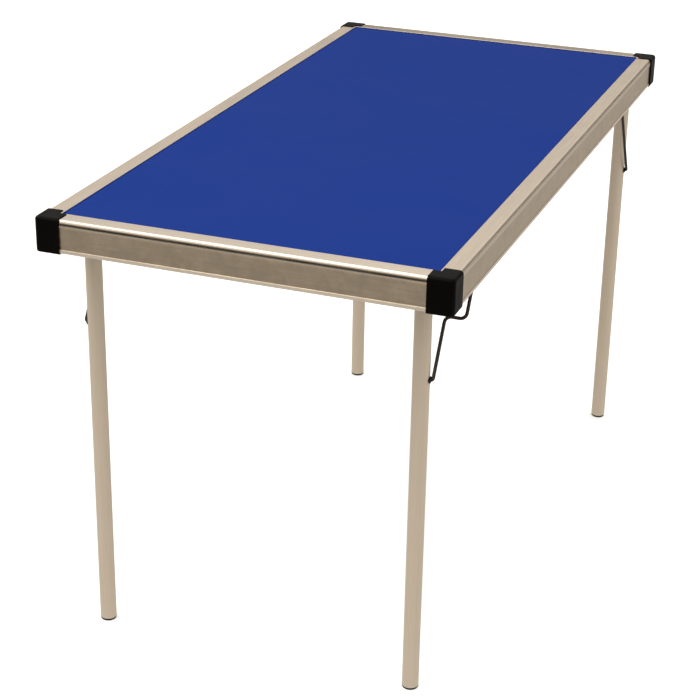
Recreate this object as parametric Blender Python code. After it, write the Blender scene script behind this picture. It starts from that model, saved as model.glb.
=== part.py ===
"""A rectangular folding table: a laminated board in a deep aluminium edge frame with moulded corner
caps, carried on two pairs of round legs that fold up under the board and are held open by wire stays.

World frame: metres, +Z up, the long side along Y, the floor at Z = 0. "front" is -Y, "left" is -X.
The two leg frames are the same part, the back one turned half round about Z.
"""

import math

import bmesh
import bpy
from mathutils import Matrix, Vector

MM = 0.001

# Overall sizes of the edge frame, without the caps, in mm.
FRAME_WIDTH = 606.0
FRAME_LENGTH = 1216.0
TABLE_HEIGHT = 698.0
FIT_GAP = 0.3  # left between pieces that touch

# Edge rail section: u runs inwards from the outer face, heights run down from the top.
RAIL_DEPTH = 49.0
RAIL_LIP_WIDTH = 27.0  # the band that shows round the board
RAIL_LIP_THICK = 1.6
RAIL_ROUNDING = 5.0
RAIL_ROUNDING_STEPS = 6
RAIL_FACE_RECESS = 0.8
RAIL_WALL_INNER = 2.4
RAIL_BEAD_HEIGHT = 4.6
RAIL_BEAD_SLOPE = 1.0
RAIL_EDGE_BREAK = 0.5
RAIL_LEDGE_WIDTH = 18.0
RAIL_LEDGE_THICK = 1.5
RAIL_RETURN_WIDTH = 4.0
RAIL_RETURN_THICK = 1.6
RAIL_NOSE_CUT = 14.0  # the mitred nose is cut off square under the cap

# Board build-up, from the top down.
LAMINATE_THICK = 0.8
BOARD_THICK = 15.0
BACKER_THICK = 0.6
BOARD_EDGE_INSET = 10.0

# Corner caps.
CAP_SIDE_PROUD = 2.0
CAP_TOP_PROUD = 1.3
CAP_BOTTOM_DROP = 2.0
CAP_ARM = 38.0
CAP_BAND = 26.0
CAP_CORNER_ROUNDING = 7.0
CAP_CORNER_STEPS = 6
CAP_TOP_ROUNDING = 5.0
CAP_TOP_STEPS = 4
CAP_BOTTOM_ROUNDING = 2.8
CAP_BOTTOM_STEPS = 3
CAP_CAVITY_CHAMFER = 3.0  # inside the outer top edges
CAP_CAVITY_CORNER = 5.0  # inside the upright corner

# Corner angles inside the frame.
ANGLE_ARM = 55.0
ANGLE_THICK = 2.0
ANGLE_CLEAR = 0.6

# Leg frames.
LEG_DIAMETER = 25.0
LEG_WALL = 1.5
LEG_FROM_FRAME = 19.5  # from the outer face of the frame to the nearer leg
LEG_SIDE_SHIFT = 20.0  # each leg frame sits off centre, so that the two nest when folded
LEG_FROM_END = 102.0
LEG_SWING_CLEAR = 0.6  # under the board, as the top of a leg swings past it
LEG_ABOVE_PIVOT = 10.0
CROSSBAR_DIAMETER = 16.0
CROSSBAR_WALL = 1.2
CROSSBAR_END_CLEAR = 1.6
TUBE_SEGMENTS = 28

# Foot plugs.
FOOT_HEIGHT = 3.5
FOOT_INSET = 0.2  # how far the foot stands inside the tube's outside
FOOT_ROUNDING = 2.4
FOOT_ROUNDING_STEPS = 3
FOOT_STEM_HEIGHT = 22.0

# Fittings under the ledges, measured in from the outer face of the frame.
FITTING_INSET = 6.5
SCREW_INSET = 14.5

# Pivot brackets, one at each end of each crossbar.
BRACKET_THICK = 12.0
BRACKET_EAR = 24.0
BRACKET_EAR_THICK = 3.5
BRACKET_BOSS_RADIUS = 11.5
BRACKET_BORE_CLEAR = 0.4
BRACKET_SCREW_SPACING = 36.0

# Wire stays: a wire from the leg up to a catch under the side rail.
STAY_DIAMETER = 5.0
STAY_BELOW_PIVOT = 158.0
STAY_LEAN_DEG = 31.1
STAY_LEG_CLEAR = 2.0
STAY_JOG_ALONG = 90.8
STAY_JOG_OUT = 29.5
STAY_JOG_BEND = 8.8
STAY_HOOK_BEND = 4.0
STAY_EYE_BEND = 3.4
STAY_EYE_DEPTH = 6.5
STAY_HOOK_PAST_CATCH = 1.8
STAY_SEGMENTS = 14
STAY_BEND_STEPS = 5
STAY_MITRE_LIMIT_DEG = 45.0

# Bushes that the stays turn in.
BUSH_SLEEVE_RADIUS = 4.0
BUSH_FLANGE_RADIUS = 5.2
BUSH_FLANGE_THICK = 1.1
BUSH_SLEEVE_LENGTH = 4.3
BUSH_SEGMENTS = 20

# Stay catches: a folded plate with a notch that the stay's hooked end rests in.
CATCH_THICK = 2.0
CATCH_FLANGE_THICK = 1.6
CATCH_FLANGE_WIDTH = 11.0
CATCH_BEHIND = 18.0
CATCH_AHEAD = 22.0
CATCH_NOTCH_CLEAR = 0.4
CATCH_NOTCH_STEPS = 8
CATCH_JAW_SLOPE_DEG = 25.0
CATCH_JAW_REACH = 6.0
CATCH_HEIGHT_BELOW_PIVOT = 10.5
CATCH_SCREW_SPACING = 26.0

# Screws, driven upwards through the ledge into the board.
SCREW_HEAD_DIAMETER = 6.4
SCREW_HEAD_HEIGHT = 2.0
SCREW_HEAD_FLAT = 0.6  # the flat share of the head's width
SCREW_SHANK_DIAMETER = 3.4
SCREW_IN_BOARD = 8.0
SCREW_POINT = 2.0
SCREW_SEGMENTS = 16

SMOOTH_ANGLE_DEG = 40.0

# Heights and positions that follow from the sizes above.
HALF_WIDTH = FRAME_WIDTH / 2
HALF_LENGTH = FRAME_LENGTH / 2
LAMINATE_TOP = TABLE_HEIGHT - RAIL_LIP_THICK - FIT_GAP
BOARD_TOP = LAMINATE_TOP - LAMINATE_THICK - FIT_GAP
BOARD_BOTTOM = BOARD_TOP - BOARD_THICK
BACKER_TOP = BOARD_BOTTOM - FIT_GAP
BACKER_BOTTOM = BACKER_TOP - BACKER_THICK
LEDGE_TOP = BACKER_BOTTOM - FIT_GAP
LEDGE_BOTTOM = LEDGE_TOP - RAIL_LEDGE_THICK
FITTING_TOP = LEDGE_BOTTOM - FIT_GAP
RAIL_BOTTOM = TABLE_HEIGHT - RAIL_DEPTH
LEG_RADIUS = LEG_DIAMETER / 2
LEG_SWING = math.hypot(LEG_RADIUS, LEG_ABOVE_PIVOT) + LEG_SWING_CLEAR
PIVOT_HEIGHT = BACKER_BOTTOM - LEG_SWING
PIVOT_Y = -(HALF_LENGTH - LEG_FROM_END)
STAY_FOOT_HEIGHT = PIVOT_HEIGHT - STAY_BELOW_PIVOT
STAY_FROM_LEG = LEG_RADIUS + STAY_LEG_CLEAR + STAY_DIAMETER / 2
STAY_LEAN = math.radians(STAY_LEAN_DEG)
STAY_RUN = STAY_BELOW_PIVOT / math.cos(STAY_LEAN)
CATCH_Y = PIVOT_Y + STAY_BELOW_PIVOT * math.tan(STAY_LEAN)
SCREW_X = HALF_WIDTH - SCREW_INSET
FITTING_X = HALF_WIDTH - FITTING_INSET

FRONT = Matrix.Identity(4)
BACK = Matrix.Rotation(math.pi, 4, "Z")
LEG_BY_RAIL = -(HALF_WIDTH - LEG_FROM_FRAME - LEG_RADIUS)
LEG_OFF_RAIL = -LEG_BY_RAIL - 2 * LEG_SIDE_SHIFT
# Corner, leg position across the table, outward side, and the turn that puts it at its end.
CORNERS = (
    ("front_left", LEG_BY_RAIL, -1, FRONT),
    ("front_right", LEG_OFF_RAIL, 1, FRONT),
    ("back_right", LEG_BY_RAIL, -1, BACK),
    ("back_left", LEG_OFF_RAIL, 1, BACK),
)


def clear_scene():
    for old in list(bpy.data.objects):
        bpy.data.objects.remove(old, do_unlink=True)


def material(name, colour, roughness, metallic):
    """A Principled material with one colour."""
    made = bpy.data.materials.new(name)
    made.use_nodes = True
    shader = made.node_tree.nodes["Principled BSDF"]
    shader.inputs["Base Color"].default_value = (*colour, 1.0)
    shader.inputs["Roughness"].default_value = roughness
    shader.inputs["Metallic"].default_value = metallic
    return made


def make_materials():
    """One material for each thing that the table is made of."""
    return {
        "rail": material("rail_aluminium", (0.62, 0.57, 0.50), 0.35, 1.0),
        "laminate": material("blue_laminate_face", (0.022, 0.052, 0.270), 0.45, 0.0),
        "board": material("board_core", (0.45, 0.32, 0.20), 0.80, 0.0),
        "backer": material("backer_sheet", (0.30, 0.22, 0.15), 0.70, 0.0),
        "cap": material("cap_black_plastic", (0.012, 0.011, 0.010), 0.40, 0.0),
        "angle": material("angle_steel", (0.50, 0.50, 0.49), 0.45, 1.0),
        "leg": material("leg_champagne_paint", (0.55, 0.46, 0.36), 0.38, 0.6),
        "foot": material("foot_black_plastic", (0.010, 0.010, 0.010), 0.50, 0.0),
        "bracket": material("bracket_black_nylon", (0.015, 0.015, 0.015), 0.55, 0.0),
        "stay": material("stay_steel_wire", (0.30, 0.28, 0.26), 0.35, 1.0),
        "bush": material("bush_black_plastic", (0.010, 0.010, 0.010), 0.50, 0.0),
        "catch": material("catch_steel", (0.52, 0.52, 0.50), 0.40, 1.0),
        "screw": material("screw_zinc", (0.60, 0.60, 0.58), 0.35, 1.0),
    }


def finish(name, shape, surface, origin, turn=FRONT):
    """Turns a bmesh in mm into a named object whose origin is at the given point, in mm."""
    bmesh.ops.transform(shape, matrix=Matrix.Scale(MM, 4) @ turn, verts=shape.verts)
    place = turn @ Vector(origin) * MM
    bmesh.ops.translate(shape, vec=-place, verts=shape.verts)
    bmesh.ops.recalc_face_normals(shape, faces=shape.faces)
    mesh = bpy.data.meshes.new(name)
    shape.to_mesh(mesh)
    shape.free()
    made = bpy.data.objects.new(name, mesh)
    made.location = place
    made.data.materials.append(surface)
    bpy.context.scene.collection.objects.link(made)
    mesh.shade_smooth()
    mesh.set_sharp_from_angle(angle=math.radians(SMOOTH_ANGLE_DEG))
    return made


def cut(target, cutter):
    """Takes the cutter out of the target, and hides the cutter."""
    cutter.hide_render = True
    cutter.display_type = "WIRE"
    step = target.modifiers.new("cut_" + cutter.name, "BOOLEAN")
    step.operation = "DIFFERENCE"
    step.solver = "EXACT"
    step.object = cutter


def prism(outline, place, first, second, along):
    """A bmesh prism: the outline, as (first, second) pairs, carried from its plane along a vector."""
    shape = bmesh.new()
    first, second, along = Vector(first), Vector(second), Vector(along)
    near = [shape.verts.new(Vector(place) + first * a + second * b) for a, b in outline]
    far = [shape.verts.new(corner.co + along) for corner in near]
    shape.faces.new(near)
    shape.faces.new(far[::-1])
    for i, corner in enumerate(near):
        after = (i + 1) % len(near)
        shape.faces.new((near[after], corner, far[i], far[after]))
    return shape


def box(low, high):
    """A bmesh box between two opposite corners."""
    size = Vector(high) - Vector(low)
    outline = ((0, 0), (size.x, 0), (size.x, size.y), (0, size.y))
    return prism(outline, low, (1, 0, 0), (0, 1, 0), (0, 0, size.z))


def turned(profile, place, axis, segments, hollow=False):
    """A bmesh turned about an axis, from (radius, distance along the axis) pairs.

    A hollow profile is a closed loop that stays off the axis. Any other profile starts and ends on it.
    """
    shape = bmesh.new()
    axis = Vector(axis).normalized()
    across = axis.orthogonal().normalized()
    other = axis.cross(across)
    rings = []
    for radius, along in profile:
        centre = Vector(place) + axis * along
        if radius == 0:
            rings.append([shape.verts.new(centre)] * segments)
            continue
        angles = [2 * math.pi * i / segments for i in range(segments)]
        rings.append(
            [
                shape.verts.new(centre + (across * math.cos(a) + other * math.sin(a)) * radius)
                for a in angles
            ]
        )
    pairs = list(zip(rings, rings[1:]))
    if hollow:
        pairs.append((rings[-1], rings[0]))
    for low, high in pairs:
        for i in range(segments):
            after = (i + 1) % segments
            corners = (low[i], low[after], high[after], high[i])
            shape.faces.new(dict.fromkeys(corners))
    return shape


def rod(radius, start, end, segments):
    """A bmesh solid cylinder between two points."""
    length = (Vector(end) - Vector(start)).length
    profile = ((0, 0), (radius, 0), (radius, length), (0, length))
    return turned(profile, start, Vector(end) - Vector(start), segments)


def rounded_path(corners, bends):
    """The corners of a wire's path, each inner one replaced by an arc of the given bend radius."""
    path = [Vector(corners[0])]
    for before, at, after, bend in zip(corners, corners[1:], corners[2:], bends):
        at = Vector(at)
        back = (Vector(before) - at).normalized()
        on = (Vector(after) - at).normalized()
        half = back.angle(on) / 2
        centre = at + (back + on).normalized() * (bend / math.sin(half))
        start = at + back * (bend / math.tan(half)) - centre
        end = at + on * (bend / math.tan(half)) - centre
        for i in range(STAY_BEND_STEPS + 1):
            share = i / STAY_BEND_STEPS
            path.append(centre + start.slerp(end, share).normalized() * bend)
    path.append(Vector(corners[-1]))
    return path


def wire(path, radius, segments):
    """A bmesh wire of round section along a path, with flat ends."""
    shape = bmesh.new()
    rings = []
    heading = (path[1] - path[0]).normalized()
    across = heading.orthogonal().normalized()
    sharpest = math.cos(math.radians(STAY_MITRE_LIMIT_DEG))
    for i, point in enumerate(path):
        before = (point - path[i - 1]).normalized() if i else heading
        after = (path[i + 1] - point).normalized() if i + 1 < len(path) else before
        new_heading = (before + after).normalized()
        across = heading.rotation_difference(new_heading) @ across
        heading = new_heading
        other = heading.cross(across)
        stretch = 1 / max(before.dot(new_heading), sharpest)
        ring = []
        for k in range(segments):
            angle = 2 * math.pi * k / segments
            offset = across * math.cos(angle) + other * math.sin(angle)
            bend = after - before
            if bend.length > 0:
                inwards = bend.normalized()
                offset += inwards * offset.dot(inwards) * (stretch - 1)
            ring.append(shape.verts.new(point + offset * radius))
        rings.append(ring)
    for low, high in zip(rings, rings[1:]):
        for k in range(segments):
            after = (k + 1) % segments
            shape.faces.new((low[k], low[after], high[after], high[k]))
    shape.faces.new(rings[0][::-1])
    shape.faces.new(rings[-1])
    return shape


def cut_off(shape, point, outward):
    """Cuts away all of a bmesh beyond a plane and closes the cut."""
    everything = shape.verts[:] + shape.edges[:] + shape.faces[:]
    result = bmesh.ops.bisect_plane(
        shape, geom=everything, plane_co=point, plane_no=outward, clear_outer=True
    )
    edges = [part for part in result["geom_cut"] if isinstance(part, bmesh.types.BMEdge)]
    bmesh.ops.edgenet_fill(shape, edges=edges)


def rail_outline():
    """The rail's section as (inwards, downwards) pairs."""
    bead_top = RAIL_DEPTH - RAIL_BEAD_HEIGHT
    outline = [
        (RAIL_EDGE_BREAK, RAIL_DEPTH),
        (0, RAIL_DEPTH - RAIL_EDGE_BREAK),
        (0, bead_top),
        (RAIL_FACE_RECESS, bead_top - RAIL_BEAD_SLOPE),
        (RAIL_FACE_RECESS, RAIL_ROUNDING + 2 * RAIL_BEAD_SLOPE),
        (0, RAIL_ROUNDING + RAIL_BEAD_SLOPE),
    ]
    for i in range(RAIL_ROUNDING_STEPS + 1):
        angle = math.pi / 2 * i / RAIL_ROUNDING_STEPS
        outline.append(
            (RAIL_ROUNDING * (1 - math.cos(angle)), RAIL_ROUNDING * (1 - math.sin(angle)))
        )
    ledge_top = TABLE_HEIGHT - LEDGE_TOP
    ledge_bottom = TABLE_HEIGHT - LEDGE_BOTTOM
    return_top = RAIL_DEPTH - RAIL_RETURN_THICK
    outline += [
        (RAIL_LIP_WIDTH - RAIL_EDGE_BREAK, 0),
        (RAIL_LIP_WIDTH, RAIL_EDGE_BREAK),
        (RAIL_LIP_WIDTH, RAIL_LIP_THICK),
        (RAIL_ROUNDING, RAIL_LIP_THICK),
        (RAIL_WALL_INNER, RAIL_ROUNDING),
        (RAIL_WALL_INNER, ledge_top),
        (RAIL_LEDGE_WIDTH, ledge_top),
        (RAIL_LEDGE_WIDTH, ledge_bottom),
        (RAIL_WALL_INNER, ledge_bottom),
        (RAIL_WALL_INNER, return_top),
        (RAIL_RETURN_WIDTH, return_top),
        (RAIL_RETURN_WIDTH, RAIL_DEPTH),
    ]
    return outline


def rail(name, half_across, half_along, turn, surface):
    """One edge rail, mitred at both ends. Before its turn, its outer face looks towards -Y."""
    place = (-half_along, -half_across, TABLE_HEIGHT)
    shape = prism(rail_outline(), place, (0, 1, 0), (0, 0, -1), (2 * half_along, 0, 0))
    for end in (-1, 1):
        inner = end * (half_along - RAIL_LIP_WIDTH - FIT_GAP)
        cut_off(shape, (inner, -half_across + RAIL_LIP_WIDTH, 0), (end, 1, 0))
        cut_off(shape, (end * (half_along - RAIL_NOSE_CUT), 0, 0), (end, 0, 0))
    return finish(name, shape, surface, (0, -half_across, TABLE_HEIGHT), turn)


def make_rails(surface):
    """The four edge rails, by the side that each is on."""
    quarter = Matrix.Rotation(math.pi / 2, 4, "Z")
    return {
        "front": rail("front_rail", HALF_LENGTH, HALF_WIDTH, FRONT, surface),
        "right": rail("right_rail", HALF_WIDTH, HALF_LENGTH, quarter, surface),
        "back": rail("back_rail", HALF_LENGTH, HALF_WIDTH, BACK, surface),
        "left": rail("left_rail", HALF_WIDTH, HALF_LENGTH, quarter.inverted(), surface),
    }


def sheet(name, bottom, top, surface):
    """One layer of the board, as wide as the frame lets it be."""
    across = HALF_WIDTH - BOARD_EDGE_INSET
    along = HALF_LENGTH - BOARD_EDGE_INSET
    shape = box((-across, -along, bottom), (across, along, top))
    return finish(name, shape, surface, (0, 0, top))


def corner_cap(name, x_side, y_side, surface):
    """A moulded cap that covers one corner of the frame, open on the inside."""
    outer_x = HALF_WIDTH + CAP_SIDE_PROUD
    outer_y = HALF_LENGTH + CAP_SIDE_PROUD
    top = TABLE_HEIGHT + CAP_TOP_PROUD
    bottom = RAIL_BOTTOM - CAP_BOTTOM_DROP
    outline = (
        (outer_x, outer_y),
        (outer_x - CAP_ARM, outer_y),
        (outer_x - CAP_ARM, outer_y - CAP_BAND),
        (outer_x - CAP_BAND, outer_y - CAP_BAND),
        (outer_x - CAP_BAND, outer_y - CAP_ARM),
        (outer_x, outer_y - CAP_ARM),
    )
    outward_x, outward_y = (x_side, 0, 0), (0, y_side, 0)
    shape = prism(outline, (0, 0, bottom), outward_x, outward_y, (0, 0, top - bottom))

    def outside(edge):
        return all(
            abs(abs(end.co.x) - outer_x) < FIT_GAP or abs(abs(end.co.y) - outer_y) < FIT_GAP
            for end in edge.verts
        )

    def round_off(edges, radius, steps):
        bmesh.ops.bevel(
            shape, geom=edges, offset=radius, segments=steps, profile=0.5,
            affect="EDGES", material=-1,
        )

    point = Vector((x_side * outer_x, y_side * outer_y))
    upright = [
        edge
        for edge in shape.edges
        if all((end.co.xy - point).length < FIT_GAP for end in edge.verts)
    ]
    round_off(upright, CAP_CORNER_ROUNDING, CAP_CORNER_STEPS)
    for height, radius, steps in (
        (top, CAP_TOP_ROUNDING, CAP_TOP_STEPS),
        (bottom, CAP_BOTTOM_ROUNDING, CAP_BOTTOM_STEPS),
    ):
        around = [
            edge
            for edge in shape.edges
            if all(abs(end.co.z - height) < FIT_GAP for end in edge.verts)
            and (outside(edge) or on_rounding(edge, outer_x, outer_y))
        ]
        round_off(around, radius, steps)
    cap = finish(name, shape, surface, (x_side * outer_x, y_side * outer_y, bottom))
    cut(cap, cap_cavity(name + "_cavity", x_side, y_side, surface))
    return cap


def on_rounding(edge, outer_x, outer_y):
    """Whether an edge lies on the rounded upright corner of a cap."""
    near_x = all(abs(end.co.x) > outer_x - CAP_CORNER_ROUNDING - FIT_GAP for end in edge.verts)
    near_y = all(abs(end.co.y) > outer_y - CAP_CORNER_ROUNDING - FIT_GAP for end in edge.verts)
    return near_x and near_y


def cap_cavity(name, x_side, y_side, surface):
    """The room for the rails inside a cap, with its outer top edges and its corner chamfered."""
    reach_x = HALF_WIDTH + FIT_GAP
    reach_y = HALF_LENGTH + FIT_GAP
    top = TABLE_HEIGHT + FIT_GAP
    bottom = RAIL_BOTTOM - FIT_GAP
    inner_x = reach_x - 2 * CAP_ARM
    inner_y = reach_y - 2 * CAP_ARM
    low = (min(x_side * inner_x, x_side * reach_x), min(y_side * inner_y, y_side * reach_y), bottom)
    high = (max(x_side * inner_x, x_side * reach_x), max(y_side * inner_y, y_side * reach_y), top)
    shape = box(low, high)
    chamfer = Vector((0, 0, top - CAP_CAVITY_CHAMFER))
    cut_off(shape, chamfer + Vector((x_side * reach_x, 0, 0)), (x_side, 0, 1))
    cut_off(shape, chamfer + Vector((0, y_side * reach_y, 0)), (0, y_side, 1))
    corner = (x_side * reach_x, y_side * (reach_y - CAP_CAVITY_CORNER), 0)
    cut_off(shape, corner, (x_side, y_side, 0))
    return finish(name, shape, surface, (0, 0, 0))


def corner_angle(name, x_side, y_side, surface):
    """A steel angle inside one corner that joins the two rails below the ledge."""
    reach_x = HALF_WIDTH - RAIL_WALL_INNER - FIT_GAP
    reach_y = HALF_LENGTH - RAIL_WALL_INNER - FIT_GAP
    outline = (
        (reach_x, reach_y),
        (reach_x - ANGLE_ARM, reach_y),
        (reach_x - ANGLE_ARM, reach_y - ANGLE_THICK),
        (reach_x - ANGLE_THICK, reach_y - ANGLE_THICK),
        (reach_x - ANGLE_THICK, reach_y - ANGLE_ARM),
        (reach_x, reach_y - ANGLE_ARM),
    )
    bottom = RAIL_BOTTOM + RAIL_RETURN_THICK + ANGLE_CLEAR
    height = LEDGE_BOTTOM - ANGLE_CLEAR - bottom
    shape = prism(outline, (0, 0, bottom), (x_side, 0, 0), (0, y_side, 0), (0, 0, height))
    return finish(name, shape, surface, (x_side * reach_x, y_side * reach_y, bottom))


def leg_tube(corner, leg_x, side, turn, surface):
    """A leg tube with the holes for the crossbar and the stay's bush."""
    name = corner + "_leg"
    radius = LEG_RADIUS
    bottom = FOOT_HEIGHT + FIT_GAP
    top = PIVOT_HEIGHT + LEG_ABOVE_PIVOT
    inner = radius - LEG_WALL
    loop = ((radius, bottom), (radius, top), (inner, top), (inner, bottom))
    shape = turned(loop, (leg_x, PIVOT_Y, 0), (0, 0, 1), TUBE_SEGMENTS, hollow=True)
    leg = finish(name, shape, surface, (leg_x, PIVOT_Y, PIVOT_HEIGHT), turn)
    past = radius + 2 * LEG_WALL
    hole = rod(
        CROSSBAR_DIAMETER / 2 + FIT_GAP,
        (leg_x - past, PIVOT_Y, PIVOT_HEIGHT),
        (leg_x + past, PIVOT_Y, PIVOT_HEIGHT),
        TUBE_SEGMENTS,
    )
    cut(leg, finish(name + "_crossbar_hole", hole, surface, (0, 0, 0), turn))
    bush_hole = rod(
        BUSH_SLEEVE_RADIUS + FIT_GAP,
        (leg_x, PIVOT_Y, STAY_FOOT_HEIGHT),
        (leg_x + side * past, PIVOT_Y, STAY_FOOT_HEIGHT),
        BUSH_SEGMENTS,
    )
    cut(leg, finish(name + "_bush_hole", bush_hole, surface, (0, 0, 0), turn))
    return leg


def foot_plug(corner, leg_x, turn, surface):
    """A plug in the bottom of a leg, with a rounded foot below it."""
    foot = LEG_RADIUS - FOOT_INSET
    stem = LEG_RADIUS - LEG_WALL - FIT_GAP
    angles = [math.pi / 2 * i / FOOT_ROUNDING_STEPS for i in range(FOOT_ROUNDING_STEPS + 1)]
    rounding = [
        (foot - FOOT_ROUNDING * (1 - math.sin(a)), FOOT_ROUNDING * (1 - math.cos(a)))
        for a in angles
    ]
    stem_top = FOOT_HEIGHT + FOOT_STEM_HEIGHT
    profile = [(0, 0), *rounding, (foot, FOOT_HEIGHT), (stem, FOOT_HEIGHT), (stem, stem_top)]
    profile.append((0, stem_top))
    shape = turned(profile, (leg_x, PIVOT_Y, 0), (0, 0, 1), TUBE_SEGMENTS)
    return finish(corner + "_foot", shape, surface, (leg_x, PIVOT_Y, PIVOT_HEIGHT), turn)


def crossbar(name, turn, surface):
    """The tube that joins two legs and turns in the brackets."""
    end = HALF_WIDTH - RAIL_WALL_INNER - CROSSBAR_END_CLEAR
    radius = CROSSBAR_DIAMETER / 2
    inner = radius - CROSSBAR_WALL
    loop = ((radius, -end), (radius, end), (inner, end), (inner, -end))
    shape = turned(loop, (0, PIVOT_Y, PIVOT_HEIGHT), (1, 0, 0), TUBE_SEGMENTS, hollow=True)
    return finish(name, shape, surface, (0, PIVOT_Y, PIVOT_HEIGHT), turn)


def pivot_bracket(corner, side, turn, surface):
    """A moulded bracket under the ledge that a crossbar end turns in."""
    name = corner + "_pivot_bracket"
    boss = BRACKET_BOSS_RADIUS
    ear_bottom = FITTING_TOP - BRACKET_EAR_THICK - PIVOT_HEIGHT
    ear_top = FITTING_TOP - PIVOT_HEIGHT
    steps = TUBE_SEGMENTS // 2
    around = [
        (-boss * math.cos(math.pi * i / steps), -boss * math.sin(math.pi * i / steps))
        for i in range(steps + 1)
    ]
    outline = [
        (BRACKET_EAR, ear_top),
        (-BRACKET_EAR, ear_top),
        (-BRACKET_EAR, ear_bottom),
        (-boss, ear_bottom),
        *around,
        (boss, ear_bottom),
        (BRACKET_EAR, ear_bottom),
    ]
    outer = side * FITTING_X
    place = (outer, PIVOT_Y, PIVOT_HEIGHT)
    shape = prism(outline, place, (0, 1, 0), (0, 0, 1), (-side * BRACKET_THICK, 0, 0))
    bracket = finish(name, shape, surface, place, turn)
    bore_start = (outer + side * BRACKET_THICK, PIVOT_Y, PIVOT_HEIGHT)
    bore_end = (outer - side * 2 * BRACKET_THICK, PIVOT_Y, PIVOT_HEIGHT)
    bore = rod(CROSSBAR_DIAMETER / 2 + BRACKET_BORE_CLEAR, bore_start, bore_end, TUBE_SEGMENTS)
    cut(bracket, finish(name + "_bore", bore, surface, (0, 0, 0), turn))
    return bracket


def stay_corners(leg_x, side):
    """The corners of a stay's path, from its end in the leg to its hooked end."""
    foot = Vector((0, PIVOT_Y, STAY_FOOT_HEIGHT))
    along = Vector((0, math.sin(STAY_LEAN), math.cos(STAY_LEAN)))

    def at(across, run):
        return foot + along * run + Vector((across, 0, 0))

    beside = leg_x + side * STAY_FROM_LEG
    out = side * (FITTING_X + STAY_HOOK_PAST_CATCH)
    corners = [at(leg_x + side * (LEG_RADIUS - STAY_EYE_DEPTH), 0), at(beside, 0)]
    bends = [STAY_EYE_BEND]
    if leg_x == LEG_OFF_RAIL:
        corners += [at(beside, STAY_JOG_ALONG), at(beside + side * STAY_JOG_OUT, STAY_JOG_ALONG)]
        bends += [STAY_JOG_BEND, STAY_JOG_BEND]
        beside += side * STAY_JOG_OUT
    corners += [at(beside, STAY_RUN), at(out, STAY_RUN)]
    bends += [STAY_HOOK_BEND]
    return corners, bends


def wire_stay(corner, leg_x, side, turn, surface):
    """A bent wire stay, with its eye in the leg and its hook in the catch."""
    corners, bends = stay_corners(leg_x, side)
    shape = wire(rounded_path(corners, bends), STAY_DIAMETER / 2, STAY_SEGMENTS)
    pivot = (leg_x + side * STAY_FROM_LEG, PIVOT_Y, STAY_FOOT_HEIGHT)
    return finish(corner + "_stay", shape, surface, pivot, turn)


def stay_bush(corner, leg_x, side, turn, surface):
    """A flanged bush in the outer wall of a leg."""
    hole = STAY_DIAMETER / 2 + FIT_GAP
    flange = LEG_RADIUS + FIT_GAP
    loop = (
        (hole, flange - BUSH_SLEEVE_LENGTH),
        (BUSH_SLEEVE_RADIUS, flange - BUSH_SLEEVE_LENGTH),
        (BUSH_SLEEVE_RADIUS, flange),
        (BUSH_FLANGE_RADIUS, flange),
        (BUSH_FLANGE_RADIUS, flange + BUSH_FLANGE_THICK),
        (hole, flange + BUSH_FLANGE_THICK),
    )
    place = (leg_x, PIVOT_Y, STAY_FOOT_HEIGHT)
    shape = turned(loop, place, (side, 0, 0), BUSH_SEGMENTS, hollow=True)
    return finish(corner + "_stay_bush", shape, surface, (leg_x, PIVOT_Y, PIVOT_HEIGHT), turn)


def stay_catch(corner, side, turn, surface):
    """A folded plate under the ledge, its web notched for the stay's hooked end."""
    name = corner + "_stay_catch"
    notch = STAY_DIAMETER / 2 + CATCH_NOTCH_CLEAR
    slope = math.radians(CATCH_JAW_SLOPE_DEG)
    top = FITTING_TOP - PIVOT_HEIGHT
    bottom = -CATCH_HEIGHT_BELOW_PIVOT
    start, sweep = math.pi / 2, math.pi - slope
    angles = [start + sweep * i / CATCH_NOTCH_STEPS for i in range(CATCH_NOTCH_STEPS + 1)]
    arc = [(notch * math.cos(a), notch * math.sin(a)) for a in angles]
    jaw = (CATCH_JAW_REACH, arc[-1][1] - (CATCH_JAW_REACH - arc[-1][0]) * math.tan(slope))
    outline = [
        (-CATCH_BEHIND, top),
        (CATCH_AHEAD, top),
        (CATCH_AHEAD, notch + 2 * CATCH_THICK),
        (CATCH_JAW_REACH, notch),
        *arc,
        jaw,
        (CATCH_JAW_REACH - CATCH_THICK, bottom),
        (-CATCH_BEHIND / 2, bottom),
        (-CATCH_BEHIND, bottom / 2),
    ]
    place = (side * FITTING_X, CATCH_Y, PIVOT_HEIGHT)
    web = prism(outline, place, (0, 1, 0), (0, 0, 1), (-side * CATCH_THICK, 0, 0))
    catch = finish(name, web, surface, place, turn)
    inner = side * (FITTING_X - CATCH_FLANGE_WIDTH)
    outer = side * (FITTING_X - FIT_GAP)
    flange = box(
        (min(inner, outer), CATCH_Y - CATCH_BEHIND, FITTING_TOP - CATCH_FLANGE_THICK),
        (max(inner, outer), CATCH_Y + CATCH_AHEAD, FITTING_TOP),
    )
    joined = finish(name + "_flange", flange, surface, (0, 0, 0), turn)
    joined.hide_render = True
    joined.display_type = "WIRE"
    fold = catch.modifiers.new("fold", "BOOLEAN")
    fold.operation = "UNION"
    fold.solver = "EXACT"
    fold.object = joined
    return catch


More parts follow.
